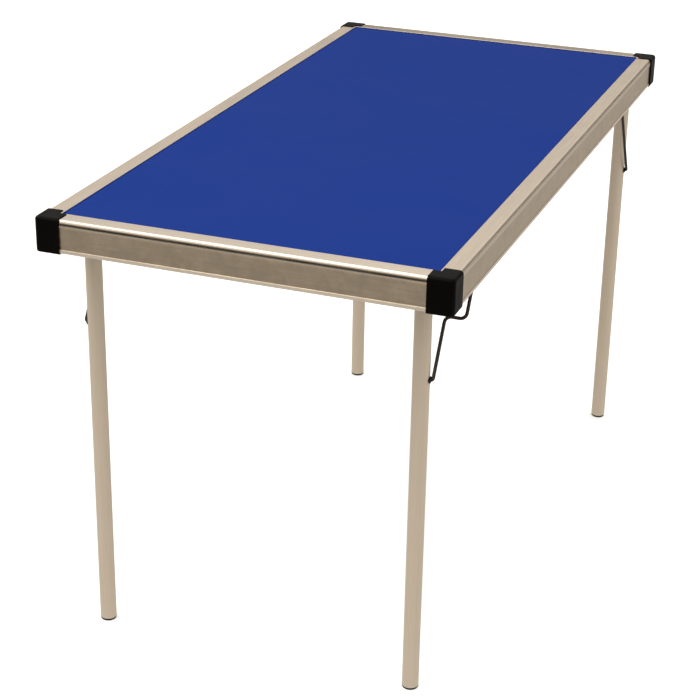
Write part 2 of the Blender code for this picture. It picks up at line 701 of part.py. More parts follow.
def screw_spots():
    """Name, side, position along the table, turn and head height of every screw at the front end."""
    spots = []
    catch_middle = CATCH_Y + (CATCH_AHEAD - CATCH_BEHIND) / 2
    for corner, _, side, turn in CORNERS:
        for kind, centre, spacing, below in (
            ("bracket", PIVOT_Y, BRACKET_SCREW_SPACING, BRACKET_EAR_THICK),
            ("catch", catch_middle, CATCH_SCREW_SPACING, CATCH_FLANGE_THICK),
        ):
            for number, way in enumerate((-1, 1), start=1):
                name = f"{corner}_{kind}_screw_{number}"
                along = centre + way * spacing / 2
                spots.append((name, side, along, turn, FITTING_TOP - below - FIT_GAP))
    return spots


def screw(name, side, along, turn, seat, surface):
    """A pan-head screw pointing up into the board."""
    head = SCREW_HEAD_DIAMETER / 2
    shank = SCREW_SHANK_DIAMETER / 2
    tip = BOARD_BOTTOM + SCREW_IN_BOARD
    profile = (
        (0, seat - SCREW_HEAD_HEIGHT),
        (head * SCREW_HEAD_FLAT, seat - SCREW_HEAD_HEIGHT),
        (head, seat - SCREW_HEAD_HEIGHT / 2),
        (head, seat),
        (shank, seat),
        (shank, tip - SCREW_POINT),
        (0, tip),
    )
    place = (side * SCREW_X, along, 0)
    shape = turned(profile, place, (0, 0, 1), SCREW_SEGMENTS)
    return finish(name, shape, surface, (side * SCREW_X, along, seat), turn)


def screw_hole(name, side, along, turn, surface):
    """The clearance hole for one screw, through everything between its head and the board."""
    start = (side * SCREW_X, along, FITTING_TOP - 2 * BRACKET_EAR_THICK)
    end = (side * SCREW_X, along, BOARD_BOTTOM + SCREW_IN_BOARD + FIT_GAP)
    shape = rod(SCREW_SHANK_DIAMETER / 2 + FIT_GAP, start, end, SCREW_SEGMENTS)
    return finish(name + "_hole", shape, surface, (0, 0, 0), turn)


def make_top(surfaces):
    """The board, its frame and its corners. Returns the pieces that the screws pass through."""
    rails = make_rails(surfaces["rail"])
    sheet("blue_laminate", LAMINATE_TOP - LAMINATE_THICK, LAMINATE_TOP, surfaces["laminate"])
    board = sheet("table_board", BOARD_BOTTOM, BOARD_TOP, surfaces["board"])
    backer = sheet("underside_laminate", BACKER_BOTTOM, BACKER_TOP, surfaces["backer"])
    for x_name, x_side in (("left", -1), ("right", 1)):
        for y_name, y_side in (("front", -1), ("back", 1)):
            corner = f"{y_name}_{x_name}"
            corner_cap(corner + "_corner_cap", x_side, y_side, surfaces["cap"])
            corner_angle(corner + "_corner_angle", x_side, y_side, surfaces["angle"])
    return rails, board, backer


def make_legs(surfaces):
    """Both leg frames with their stays, and the fittings that they turn and rest in."""
    fittings = {}
    for corner, leg_x, side, turn in CORNERS:
        leg_tube(corner, leg_x, side, turn, surfaces["leg"])
        foot_plug(corner, leg_x, turn, surfaces["foot"])
        wire_stay(corner, leg_x, side, turn, surfaces["stay"])
        stay_bush(corner, leg_x, side, turn, surfaces["bush"])
        fittings[corner + "_bracket"] = pivot_bracket(corner, side, turn, surfaces["bracket"])
        fittings[corner + "_catch"] = stay_catch(corner, side, turn, surfaces["catch"])
    crossbar("front_crossbar", FRONT, surfaces["leg"])
    crossbar("back_crossbar", BACK, surfaces["leg"])
    return fittings


def make_screws(surfaces, rails, board, backer, fittings):
    """All the screws, and their clearance holes through what they hold."""
    for name, side, along, turn, seat in screw_spots():
        screw(name, side, along, turn, seat, surfaces["screw"])
        hole = screw_hole(name, side, along, turn, surfaces["screw"])
        fitting = fittings[name[: name.index("_screw")]]
        ledge = rails["right" if "_right_" in name else "left"]
        for piece in (fitting, ledge, board, backer):
            cut(piece, hole)


def main():
    clear_scene()
    surfaces = make_materials()
    rails, board, backer = make_top(surfaces)
    fittings = make_legs(surfaces)
    make_screws(surfaces, rails, board, backer, fittings)


main()
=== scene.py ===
"""A rectangular folding table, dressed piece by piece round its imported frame.

Everything is in metres, +Z up, with the long side along Y and the floor at Z = 0. "front" is -Y and
"left" is -X. The back leg frame is the front one turned half round about Z.
"""

import math

import bmesh
import bpy
from bpy.props import FloatProperty, FloatVectorProperty, IntProperty, PointerProperty
from mathutils import Matrix, Quaternion, Vector


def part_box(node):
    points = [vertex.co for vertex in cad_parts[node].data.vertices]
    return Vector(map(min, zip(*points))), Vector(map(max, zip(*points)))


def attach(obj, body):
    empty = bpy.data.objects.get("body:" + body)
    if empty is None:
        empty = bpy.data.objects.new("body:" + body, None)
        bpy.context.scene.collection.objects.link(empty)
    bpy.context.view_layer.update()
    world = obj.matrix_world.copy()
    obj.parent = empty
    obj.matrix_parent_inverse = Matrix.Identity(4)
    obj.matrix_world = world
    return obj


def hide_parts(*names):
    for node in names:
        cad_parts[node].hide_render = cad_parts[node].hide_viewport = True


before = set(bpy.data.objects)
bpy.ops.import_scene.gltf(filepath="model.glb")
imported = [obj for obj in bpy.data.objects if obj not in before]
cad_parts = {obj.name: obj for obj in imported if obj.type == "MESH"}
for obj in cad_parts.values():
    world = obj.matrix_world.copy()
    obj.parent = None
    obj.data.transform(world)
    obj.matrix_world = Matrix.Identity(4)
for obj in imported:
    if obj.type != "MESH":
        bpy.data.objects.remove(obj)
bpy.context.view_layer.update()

bl_info = {
    "name": "Folding Table Builder",
    "version": (1, 0, 0),
    "blender": (4, 5, 0),
    "location": "View3D > Sidebar > Folding Table",
    "description": "Builds the fine pieces of a folding table round its packed frame",
    "category": "Object",
}

MM = 0.001
FIT_GAP = 0.3 * MM  # between pieces that touch
TINY = 1e-5
MERGE_REACH = 1e-7
SHEET_EDGE = 0.25 * MM
SHARP_TURN = math.radians(60)
SMOOTH_TURN = math.radians(35)
SMALL_EDGE = 0.3 * MM
HOLE_STEPS = 24
BORE_STEPS = 64
NOTCH_STEPS = 40
EYE_STEPS = 32
BUSH_STEPS = 40
SCREW_STEPS = 40
HOLE_START = 8 * MM  # below the ledge
HOLE_END = 2 * MM  # above the underside of the ledge

# A bracket's boss is rounded to just under its radius. Its crooks are where it meets the flange.
BOSS_SHORT = 0.02 * MM
CROOK_ROUNDING = 1.2 * MM

# A screw's tip, the share of its head that is rounded, and its cross recess.
SCREW_TIP = 2 * MM
HEAD_ROUNDING = 0.72
RECESS_LONG, RECESS_WIDE, RECESS_DEEP = 3.6 * MM, 0.9 * MM, 1.3 * MM

# Lines per metre of a brushed finish, across it and along it.
GRAIN_FINE, GRAIN_LONG = 1300.0, 9.0

# The studio. The glow is the floor as the metal sees it, from its dim far edge to the table.
WHITE = (1.0, 1.0, 1.0, 1.0)
FLOOR_GLOW_REACH = (-3.3, -2.4)
FLOOR_GLOW = (0.02, 0.58)
FLOOR_GLOW_COLOUR = (1.0, 0.97, 0.92, 1.0)
SKY_STOPS = (
    (0.0, (0.02, 0.016, 0.012, 1)), (0.24, (0.26, 0.23, 0.19, 1)), (0.36, (1.05, 1.02, 0.98, 1))
)
SOFTBOX_WAY = (-0.3146, -0.404, 0.858)
SOFTBOX_DISTANCE = 2.6
SOFTBOX_AIM_Y = -0.3
CAMERA_PLACE = (0.9291, -2.6792, 1.5598)
CAMERA_TURN = math.radians(110.286)
CAMERA_TILT = math.radians(-23.982)
CAMERA_ROLL = math.radians(1.060)
CAMERA_LENS = 93.848

FRONT = Matrix.Identity(4)
BACK = Matrix.Rotation(math.pi, 4, "Z")
QUARTER = Matrix.Rotation(math.pi / 2, 4, "Z")
X_AXIS, Y_AXIS, Z_AXIS = Vector((1, 0, 0)), Vector((0, 1, 0)), Vector((0, 0, 1))

# Corner, the outward side of its leg before the turn, and the turn that puts it at its end.
CORNERS = (
    ("front_left", -1, FRONT),
    ("front_right", 1, FRONT),
    ("back_right", -1, BACK),
    ("back_left", 1, BACK),
)


def before_turn(node, turn):
    """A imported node's box, turned back to the front end."""
    low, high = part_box(node)
    if turn is FRONT:
        return low, high
    return Vector((-high.x, -high.y, low.z)), Vector((-low.x, -low.y, high.z))


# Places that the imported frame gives.
RAIL_LOW, RAIL_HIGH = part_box("right_rail")
HALF_WIDTH = RAIL_HIGH.x
HALF_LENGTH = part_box("back_rail")[1].y
TABLE_TOP = RAIL_HIGH.z
RAIL_BOTTOM = RAIL_LOW.z
RAIL_DEPTH = TABLE_TOP - RAIL_BOTTOM
SHEET_LOW, SHEET_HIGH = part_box("blue_laminate")
BACKER_LOW, BACKER_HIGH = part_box("underside_laminate")
FITTING_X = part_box("front_right_pivot_bracket")[1].x
FITTING_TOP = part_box("front_right_pivot_bracket")[1].z
CROSSBAR_LOW, CROSSBAR_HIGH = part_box("front_crossbar")
PIVOT = (CROSSBAR_LOW + CROSSBAR_HIGH) / 2
CROSSBAR_RADIUS = (CROSSBAR_HIGH.z - CROSSBAR_LOW.z) / 2
STAY_FOOT_HEIGHT = sum(corner.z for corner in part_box("front_right_stay_bush")) / 2
LEG_LOW, LEG_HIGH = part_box("front_right_leg")
LEG_RADIUS = (LEG_HIGH.x - LEG_LOW.x) / 2


def length(name, description, millimetres):
    """A property for one length."""
    return FloatProperty(
        name=name, description=description, default=millimetres * MM, min=0.0, unit="LENGTH"
    )


def colour(name, description, value):
    """A property for one colour."""
    return FloatVectorProperty(
        name=name, description=description, default=value, min=0.0, max=1.0, size=3, subtype="COLOR"
    )


def steps(name, description, value):
    """A property for how finely a curve is cut."""
    return IntProperty(name=name, description=description, default=value, min=2, max=128)


class EdgeRailSizes(bpy.types.PropertyGroup):
    """The section of the aluminium edge rails."""

    lip_width: length("Lip Width", "Band of the rail that shows round the top", 27.0)
    lip_thickness: length("Lip Thickness", "Wall of the lip over the board", 1.6)
    rounding: length("Rounding", "Width of the rail's rounded outer top edge", 5.0)
    rounding_drop: length("Rounding Drop", "Height of the rounded outer top edge", 9.0)
    rounding_steps: steps("Rounding Steps", "Facets over the rounded edge", 14)
    face_recess: length("Face Recess", "How far the brushed face stands back", 0.8)
    recess_slope: length("Recess Slope", "Width of the slope above the bead", 1.0)
    shoulder_slope: length("Shoulder Slope", "Width of the slope under the rounding", 3.0)
    bead_height: length("Bead Height", "Height of the bead along the foot", 4.6)
    wall: length("Wall", "Thickness of the outer wall", 2.4)
    ledge_width: length("Ledge Width", "Reach of the ledge under the board", 18.0)
    ledge_thickness: length("Ledge Thickness", "Thickness of the ledge", 1.5)
    return_width: length("Return Width", "Reach of the return at the foot", 4.0)
    return_thickness: length("Return Thickness", "Thickness of the return", 1.6)
    nose_cut: length("Nose Cut", "What is cut off the mitre's point under the cap", 14.0)
    edge_softness: length("Edge Softness", "Radius of the small edges", 0.5)


class CornerCapSizes(bpy.types.PropertyGroup):
    """The moulded corner caps."""

    arm: length("Arm", "Reach of the cap along each rail", 38.0)
    band: length("Band", "Reach of the cap in over the lip", 26.0)
    corner_rounding: length("Corner Rounding", "Radius of the upright corner", 7.0)
    top_rounding: length("Top Rounding", "Radius of the outer top edges", 5.0)
    bottom_rounding: length("Bottom Rounding", "Radius of the outer bottom edges", 2.8)
    cavity_chamfer: length("Cavity Chamfer", "Slope inside the outer top edges", 3.0)
    cavity_corner: length("Cavity Corner", "Slope inside the upright corner", 5.0)
    edge_softness: length("Edge Softness", "Radius of the edges against the rails", 0.5)


class LegSizes(bpy.types.PropertyGroup):
    """The legs, their crossbars and their feet."""

    wall: length("Leg Wall", "Wall of the leg tube", 1.5)
    crossbar_wall: length("Crossbar Wall", "Wall of the crossbar tube", 1.2)
    hole_room: length("Hole Room", "Gap round what passes through a leg", 0.3)
    foot_height: length("Foot Height", "Height of the foot below the tube", 3.5)
    foot_rounding: length("Foot Rounding", "Radius of the foot's bottom edge", 2.4)
    tube_steps: steps("Tube Steps", "Facets round a tube", 64)


class StaySizes(bpy.types.PropertyGroup):
    """The wire stays."""

    diameter: length("Wire Diameter", "Thickness of the wire", 5.0)
    leg_room: length("Leg Room", "Gap between the wire and the leg", 2.0)
    lean: FloatProperty(
        name="Lean", description="Angle of the stay from upright", subtype="ANGLE",
        default=math.radians(31.1),
    )
    jog_along: length("Jog Height", "Distance along the stay to its sideways jog", 90.8)
    jog_out: length("Jog Width", "Width of the sideways jog", 29.5)
    jog_bend: length("Jog Bend", "Bend radius at the jog", 8.8)
    hook_bend: length("Hook Bend", "Bend radius at the hooked end", 4.0)
    eye_bend: length("Eye Bend", "Bend radius at the leg end", 3.4)
    eye_depth: length("Eye Depth", "How far the end reaches into the leg", 6.5)
    hook_past_catch: length("Hook Reach", "How far the hook passes the catch", 1.8)
    wire_steps: steps("Wire Steps", "Facets round the wire", 20)
    bend_steps: steps("Bend Steps", "Facets along a bend", 8)


class FittingSizes(bpy.types.PropertyGroup):
    """The brackets, catches, bushes, angles and screws under the edge."""

    ear_thickness: length("Ear Thickness", "Thickness of the bracket's ears", 3.5)
    boss_radius: length("Boss Radius", "Radius of the bracket's boss", 11.5)
    bore_room: length("Bore Room", "Gap round the crossbar in its bracket", 0.4)
    moulded_edge: length("Moulded Edge", "Radius of the bracket's edges", 0.6)
    catch_thickness: length("Catch Thickness", "Thickness of the catch's web", 2.0)
    flange_thickness: length("Flange Thickness", "Thickness of the catch's flange", 1.6)
    catch_behind: length("Catch Behind", "Reach of the catch behind its notch", 18.0)
    notch_room: length("Notch Room", "Gap round the stay in its notch", 0.4)
    jaw_reach: length("Jaw Reach", "Length of the jaws ahead of the notch", 6.0)
    jaw_slope: FloatProperty(
        name="Jaw Slope", description="Slope of the lower jaw", subtype="ANGLE",
        default=math.radians(25.0),
    )
    fold_radius: length("Fold Radius", "Radius of the catch's folded edge", 1.5)
    sleeve_radius: length("Sleeve Radius", "Radius of the bush's sleeve", 4.0)
    flange_width: length("Bush Flange", "Thickness of the bush's flange", 1.1)
    angle_thickness: length("Angle Thickness", "Thickness of the corner angles", 2.0)
    head_height: length("Head Height", "Height of a screw's head", 2.0)
    shank_radius: length("Shank Radius", "Radius of a screw's shank", 1.7)


class Finishes(bpy.types.PropertyGroup):
    """The colours of the table."""

    laminate: colour("Laminate", "Colour of the top sheet", (0.0078, 0.0355, 0.2400))
    rail: colour("Rail", "Colour of the satin aluminium", (0.77, 0.665, 0.54))
    # Painted shade: the outer face's colour is a darker copy of the rail's aluminium, over its real
    # brushed grain.
    brushed: colour("Brushed Face", "Colour of the brushed aluminium", (0.62, 0.505, 0.375))
    # Painted highlight: the bead's colour is a lighter copy of the rail's aluminium.
    bead: colour("Bead", "Colour of the bead along the foot of the rails", (0.88, 0.75, 0.61))
    leg: colour("Leg", "Colour of the painted tubes", (0.83, 0.70, 0.545))
    cap: colour("Cap", "Colour of the corner caps", (0.0030, 0.0022, 0.0014))
    wire: colour("Wire", "Colour of the steel wire", (0.065, 0.055, 0.045))
    zinc: colour("Zinc", "Colour of the plated steel", (0.58, 0.58, 0.56))
    rubber: colour("Rubber", "Colour of the feet and bushes", (0.0065, 0.0065, 0.0065))
    board: colour("Board", "Colour of the particle board", (0.42, 0.29, 0.17))
    backer: colour("Backer", "Colour of the underside sheet", (0.17, 0.11, 0.07))
    floor: colour("Floor", "Colour of the studio floor", (0.9, 0.9, 0.9))


class StageSizes(bpy.types.PropertyGroup):
    """The studio round the table."""

    floor_reach: FloatProperty(
        name="Floor Reach", description="Half the floor's width", default=30.0, unit="LENGTH"
    )
    softbox_size: FloatProperty(
        name="Softbox Size", description="Side of the overhead light", default=1.8, unit="LENGTH"
    )
    softbox_power: FloatProperty(
        name="Softbox Power", description="Power of the overhead light", default=22.0, unit="POWER"
    )


class FoldingTable(bpy.types.PropertyGroup):
    """Everything that can be changed about the table."""

    rails: PointerProperty(type=EdgeRailSizes)
    caps: PointerProperty(type=CornerCapSizes)
    legs: PointerProperty(type=LegSizes)
    stays: PointerProperty(type=StaySizes)
    fittings: PointerProperty(type=FittingSizes)
    finishes: PointerProperty(type=Finishes)
    stage: PointerProperty(type=StageSizes)


def settings():
    """Everything that the builder's panel sets."""
    return bpy.context.scene.folding_table


# ---------------------------------------------------------------- shaping


def flat_outline(points):
    """One face from the corners of a section."""
    shape = bmesh.new()
    shape.faces.new([shape.verts.new(point) for point in points])
    return shape


def draw_out(shape, along):
    """Draws a flat outline out into a closed bar."""
    grown = bmesh.ops.extrude_face_region(shape, geom=shape.faces[:])
    moved = [part for part in grown["geom"] if isinstance(part, bmesh.types.BMVert)]
    bmesh.ops.translate(shape, vec=along, verts=moved)
    bmesh.ops.recalc_face_normals(shape, faces=shape.faces)
    return shape


def block(low, high):
    """A box between two opposite corners."""
    low, high = Vector(low), Vector(high)
    corners = ((low.x, low.y), (high.x, low.y), (high.x, high.y), (low.x, high.y))
    return draw_out(flat_outline([(x, y, low.z) for x, y in corners]), (0, 0, high.z - low.z))


def edges_where(shape, test):
    """The edges whose two ends both pass a test on their place."""
    return [edge for edge in shape.edges if all(test(end.co) for end in edge.verts)]


def edges_along(shape, axis, test=lambda place: True):
    """The edges that run along an axis and pass a test."""
    found = []
    for edge in edges_where(shape, test):
        run = edge.verts[1].co - edge.verts[0].co
        if run.length > 0 and abs(run.normalized().dot(axis)) > 1 - TINY:
            found.append(edge)
    return found


def sharp_edges(shape):
    """The edges where a shape turns sharply."""
    return [edge for edge in shape.edges if edge.calc_face_angle(0) > SHARP_TURN]


def round_edges(shape, edges, radius, segments):
    """Rounds edges to a radius."""
    bmesh.ops.bevel(
        shape, geom=edges, offset=radius, segments=segments, profile=0.5,
        affect="EDGES", material=-1, clamp_overlap=True,
    )


def near(place, other, reach=TINY):
    """Whether two numbers are as good as the same."""
    return abs(place - other) < reach


def slice_off(shape, point, outward):
    """Cuts away all of a shape beyond a plane and closes the cut."""
    everything = shape.verts[:] + shape.edges[:] + shape.faces[:]
    result = bmesh.ops.bisect_plane(
        shape, geom=everything, plane_co=point, plane_no=outward, clear_outer=True
    )
    edges = [part for part in result["geom_cut"] if isinstance(part, bmesh.types.BMEdge)]
    bmesh.ops.edgenet_fill(shape, edges=edges)


def turned(profile, centre, axis, segments, ring=False):
    """A shape turned about an axis, from (radius, distance along the axis) pairs.

    A ring's profile is a closed loop off the axis. Any other profile starts and ends on the axis.
    """
    shape = bmesh.new()
    axis = Vector(axis).normalized()
    across = axis.orthogonal().normalized()
    ends = [shape.verts.new(Vector(centre) + across * out + axis * up) for out, up in profile]
    for low, high in zip(ends, ends[1:]):
        shape.edges.new((low, high))
    if ring:
        shape.edges.new((ends[-1], ends[0]))
    bmesh.ops.spin(
        shape, geom=shape.verts[:] + shape.edges[:], cent=centre, axis=axis, dvec=(0, 0, 0),
        angle=2 * math.pi, steps=segments, use_merge=True, use_duplicate=False,
    )
    bmesh.ops.remove_doubles(shape, verts=shape.verts, dist=MERGE_REACH)
    bmesh.ops.recalc_face_normals(shape, faces=shape.faces)
    return shape


def rod(radius, start, end, segments):
    """A round rod between two points."""
    run = Vector(end) - Vector(start)
    profile = ((0, 0), (radius, 0), (radius, run.length), (0, run.length))
    return turned(profile, start, run, segments)


def as_object(name, shape):
    """A new object in the scene, which uses the shape up."""
    mesh = bpy.data.meshes.new(name)
    shape.to_mesh(mesh)
    shape.free()
    made = bpy.data.objects.new(name, mesh)
    bpy.context.scene.collection.objects.link(made)
    return made


def carved(shape, tools, operation="DIFFERENCE"):
    """A shape after each tool has been taken out of it, or joined to it, or has trimmed it."""
    target = as_object("carving", shape)
    cutters = [as_object(f"cutter_{number}", tool) for number, tool in enumerate(tools)]
    for cutter in cutters:
        step = target.modifiers.new(cutter.name, "BOOLEAN")
        step.operation = operation
        step.solver = "EXACT"
        step.object = cutter
    bpy.context.view_layer.update()
    finished = target.evaluated_get(bpy.context.evaluated_depsgraph_get()).to_mesh()
    result = bmesh.new()
    result.from_mesh(finished)
    if not result.faces:
        raise RuntimeError("a cut left nothing of a piece")
    for used in (target, *cutters):
        mesh = used.data
        bpy.data.objects.remove(used, do_unlink=True)
        bpy.data.meshes.remove(mesh)
    return result


def finish_piece(name, shape, surfaces, body, node, turn=FRONT):
    """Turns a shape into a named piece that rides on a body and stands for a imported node."""
    bmesh.ops.transform(shape, matrix=turn, verts=shape.verts)
    bmesh.ops.remove_doubles(shape, verts=shape.verts, dist=MERGE_REACH)
    bmesh.ops.recalc_face_normals(shape, faces=shape.faces)
    piece = as_object(name, shape)
    for surface in surfaces:
        piece.data.materials.append(surface)
    piece.data.shade_smooth()
    piece.data.set_sharp_from_angle(angle=SMOOTH_TURN)
    evened = piece.modifiers.new("even_shading", "WEIGHTED_NORMAL")
    evened.keep_sharp = True
    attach(piece, body)
    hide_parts(node)


# ---------------------------------------------------------------- finishes


def add_node(tree, kind, inputs, **choices):
    """A node with its choices made, and each input given a value or joined to a socket."""
    made = tree.nodes.new("ShaderNode" + kind)
    for name, value in choices.items():
        setattr(made, name, value)
    for name, value in inputs.items():
        if isinstance(value, bpy.types.NodeSocket):
            tree.links.new(value, made.inputs[name])
        else:
            made.inputs[name].default_value = value
    return made


def noise(tree, place, scale, detail, roughness, distortion=0.0):
    inputs = {
        "Vector": place, "Scale": scale, "Detail": detail, "Roughness": roughness,
        "Distortion": distortion,
    }
    return add_node(tree, "TexNoise", inputs).outputs["Fac"]


def stretched(tree, value, low, high, new_low=0.0, new_high=1.0):
    """A value carried from one range to another."""
    inputs = {
        "Value": value, "From Min": low, "From Max": high, "To Min": new_low, "To Max": new_high
    }
    return add_node(tree, "MapRange", inputs).outputs[0]


def combined(tree, operation, first, second):
    """Two values added or multiplied."""
    return add_node(tree, "Math", {0: first, 1: second}, operation=operation).outputs[0]


def shared_effect(name, inputs, outputs, join_up):
    """A node group by name, built the first time that it is asked for."""
    if name in bpy.data.node_groups:
        return bpy.data.node_groups[name]
    tree = bpy.data.node_groups.new(name, "ShaderNodeTree")
    tree.interface.new_socket(name="Coordinates", in_out="INPUT", socket_type="NodeSocketVector")
    for label, kind, value in inputs:
        socket = tree.interface.new_socket(name=label, in_out="INPUT", socket_type=kind)
        socket.default_value = value
    for label in outputs:
        tree.interface.new_socket(name=label, in_out="OUTPUT", socket_type="NodeSocketFloat")
    taken, given = tree.nodes.new("NodeGroupInput"), tree.nodes.new("NodeGroupOutput")
    for label, socket in zip(outputs, join_up(tree, taken.outputs)):
        tree.links.new(socket, given.inputs[label])
    return tree


def drawn_grain():
    """Fine lines along one direction, as brushing or drawing leaves in metal."""

    def join_up(tree, taken):
        inputs = {0: taken["Coordinates"], 1: taken["Stretch"]}
        place = add_node(tree, "VectorMath", inputs, operation="MULTIPLY").outputs[0]
        coarse = noise(tree, place, scale=1.0, detail=4.0, roughness=0.6)
        fine = noise(tree, place, scale=3.7, detail=2.0, roughness=0.5)
        centred = stretched(tree, combined(tree, "ADD", coarse, fine), 0.65, 1.35)
        return combined(tree, "MULTIPLY", centred, taken["Contrast"]), centred

    inputs = (
        ("Stretch", "NodeSocketVector", (1.0, 1.0, 1.0)), ("Contrast", "NodeSocketFloat", 1.0)
    )
    return shared_effect("Drawn Grain", inputs, ("Lines", "Height"), join_up)


def soft_smudges():
    """Broad soft patches, as handling leaves on any surface."""

    def join_up(tree, taken):
        patches = noise(
            tree, taken["Coordinates"], taken["Size"], detail=5.0, roughness=0.55, distortion=0.6
        )
        return (stretched(tree, patches, 0.35, 0.68),)

    inputs = (("Size", "NodeSocketFloat", 8.0),)
    return shared_effect("Soft Smudges", inputs, ("Mask",), join_up)


def fine_texture():
    """The close, even texture of a moulded or painted surface."""

    def join_up(tree, taken):
        place, scale = taken["Coordinates"], taken["Per Metre"]
        cells = add_node(
            tree, "TexVoronoi", {"Vector": place, "Scale": scale}, feature="SMOOTH_F1"
        ).outputs["Distance"]
        grains = noise(tree, place, scale, detail=3.0, roughness=0.6)
        return combined(tree, "ADD", cells, grains), stretched(tree, grains, 0.52, 0.70)

    inputs = (("Per Metre", "NodeSocketFloat", 1500.0),)
    return shared_effect("Fine Texture", inputs, ("Height", "Specks"), join_up)


def rubbed_edges():
    """Where handling has rubbed the proud edges of a piece."""

    def join_up(tree, taken):
        form = add_node(tree, "NewGeometry", {})
        proud = stretched(tree, form.outputs["Pointiness"], 0.53, 0.62)
        patchy = noise(tree, taken["Coordinates"], scale=160.0, detail=4.0, roughness=0.6)
        worn = combined(tree, "MULTIPLY", proud, stretched(tree, patchy, 0.40, 0.62))
        return (combined(tree, "MULTIPLY", worn, taken["Amount"]),)

    inputs = (("Amount", "NodeSocketFloat", 1.0),)
    return shared_effect("Rubbed Edges", inputs, ("Mask",), join_up)


class Surface:
    """A material while its nodes are being joined up."""

    def __init__(self, name):
        self.material = bpy.data.materials.new(name)
        self.material.use_nodes = True
        self.tree = self.material.node_tree
        self.shader = self.tree.nodes["Principled BSDF"]
        self.place = add_node(self.tree, "TexCoord", {}).outputs["Object"]

    def effect(self, tree, **values):
        """The outputs of one of the shared effects, with its own values."""
        made = self.tree.nodes.new("ShaderNodeGroup")
        made.node_tree = tree
        self.tree.links.new(self.place, made.inputs["Coordinates"])
        for name, value in values.items():
            made.inputs[name.replace("_", " ")].default_value = value
        return made.outputs

    def smudges(self, size):
        return self.effect(soft_smudges(), Size=size)["Mask"]

    def blend(self, mask, first, second):
        """A colour that goes from the first to the second as the mask rises."""
        inputs = {"Factor": mask}
        for socket, value in ((6, first), (7, second)):
            inputs[socket] = (*value, 1.0) if isinstance(value, tuple) else value
        return add_node(self.tree, "Mix", inputs, data_type="RGBA").outputs[2]

    def ramp(self, mask, low, high):
        """A value that goes from low to high as the mask rises."""
        return stretched(self.tree, mask, 0.0, 1.0, low, high)

    def colour(self, pattern, low, high, patches, amount, patched):
        """A pattern between two colours, part covered by patches of a third."""
        covered = self.ramp(patches, 0.0, amount)
        result = self.blend(covered, self.blend(pattern, low, high), patched)
        self.tree.links.new(result, self.shader.inputs["Base Color"])

    def roughness(self, socket):
        self.tree.links.new(socket, self.shader.inputs["Roughness"])

    def bump(self, height, strength, depth):
        inputs = {"Height": height, "Strength": strength, "Distance": depth}
        raised = add_node(self.tree, "Bump", inputs).outputs["Normal"]
        self.tree.links.new(raised, self.shader.inputs["Normal"])

    def plain(self, **values):
        """Values that are the same all over the surface."""
        for name, value in values.items():
            self.shader.inputs[name.replace("_", " ")].default_value = value


def tinted(value, share):
    """A colour made lighter or darker."""
    return tuple(min(1.0, part * share) for part in value)


def satin_aluminium(name, base, stretch, roughness, contrast, scuffs, metallic=1.0):
    """Anodised aluminium with fine lines along its length."""
    made = Surface(name)
    grain = made.effect(drawn_grain(), Stretch=stretch, Contrast=contrast)
    light, dark, scuffed = tinted(base, 1.16), tinted(base, 0.80), tinted(base, 0.62)
    made.colour(grain["Lines"], dark, light, made.smudges(55.0), scuffs, scuffed)
    patches = made.ramp(made.smudges(9.0), roughness, roughness + 0.07)
    lines = made.ramp(grain["Lines"], -0.04, 0.05)
    made.roughness(combined(made.tree, "ADD", patches, lines))
    made.bump(grain["Height"], strength=0.35, depth=0.03 * MM)
    made.plain(Metallic=metallic)
    return made.material


def laminate_surface(name, base):
    """High-pressure laminate with a close, silky texture."""
    made = Surface(name)
    texture = made.effect(fine_texture(), Per_Metre=1400.0)
    patches = made.smudges(4.0)
    dark, light, patched = tinted(base, 0.97), tinted(base, 1.05), tinted(base, 1.04)
    made.colour(texture["Specks"], dark, light, patches, 0.35, patched)
    made.roughness(made.ramp(patches, 0.52, 0.60))
    made.bump(texture["Height"], strength=0.15, depth=0.04 * MM)
    made.plain(Specular_IOR_Level=0.03)
    return made.material


def moulded_surface(name, base, roughness, specular, per_metre, wear):
    """Black moulded plastic with a fine texture and lightly rubbed edges."""
    made = Surface(name)
    texture = made.effect(fine_texture(), Per_Metre=per_metre)
    rubbed = made.effect(rubbed_edges(), Amount=wear)["Mask"]
    dark, light, worn = tinted(base, 0.85), tinted(base, 1.5), tinted(base, 6.0)
    made.colour(texture["Specks"], dark, light, rubbed, 1.0, worn)
    made.roughness(made.ramp(made.smudges(40.0), roughness, roughness + 0.10))
    made.bump(texture["Height"], strength=0.25, depth=0.08 * MM)
    made.plain(Specular_IOR_Level=specular)
    return made.material


def painted_tube(name, base):
    """Drawn tube under satin champagne paint."""
    made = Surface(name)
    grain = made.effect(drawn_grain(), Stretch=(420.0, 420.0, 3.0), Contrast=1.0)
    texture = made.effect(fine_texture(), Per_Metre=1800.0)
    patches = made.smudges(14.0)
    dark, light, patched = tinted(base, 0.95), tinted(base, 1.04), tinted(base, 0.93)
    made.colour(grain["Lines"], dark, light, patches, 0.25, patched)
    made.roughness(made.ramp(patches, 0.34, 0.42))
    made.bump(texture["Height"], strength=0.12, depth=0.03 * MM)
    made.plain(Metallic=0.35, Coat_Weight=0.25, Coat_Roughness=0.22)
    return made.material


def steel_surface(name, base, stretch, roughness):
    """Plated or drawn steel."""
    made = Surface(name)
    grain = made.effect(drawn_grain(), Stretch=stretch, Contrast=1.0)
    patches = made.smudges(60.0)
    dark, light, patched = tinted(base, 0.82), tinted(base, 1.14), tinted(base, 0.70)
    made.colour(grain["Lines"], dark, light, patches, 0.4, patched)
    made.roughness(made.ramp(patches, roughness, roughness + 0.14))
    made.bump(grain["Height"], strength=0.2, depth=0.02 * MM)
    made.plain(Metallic=1.0)
    return made.material


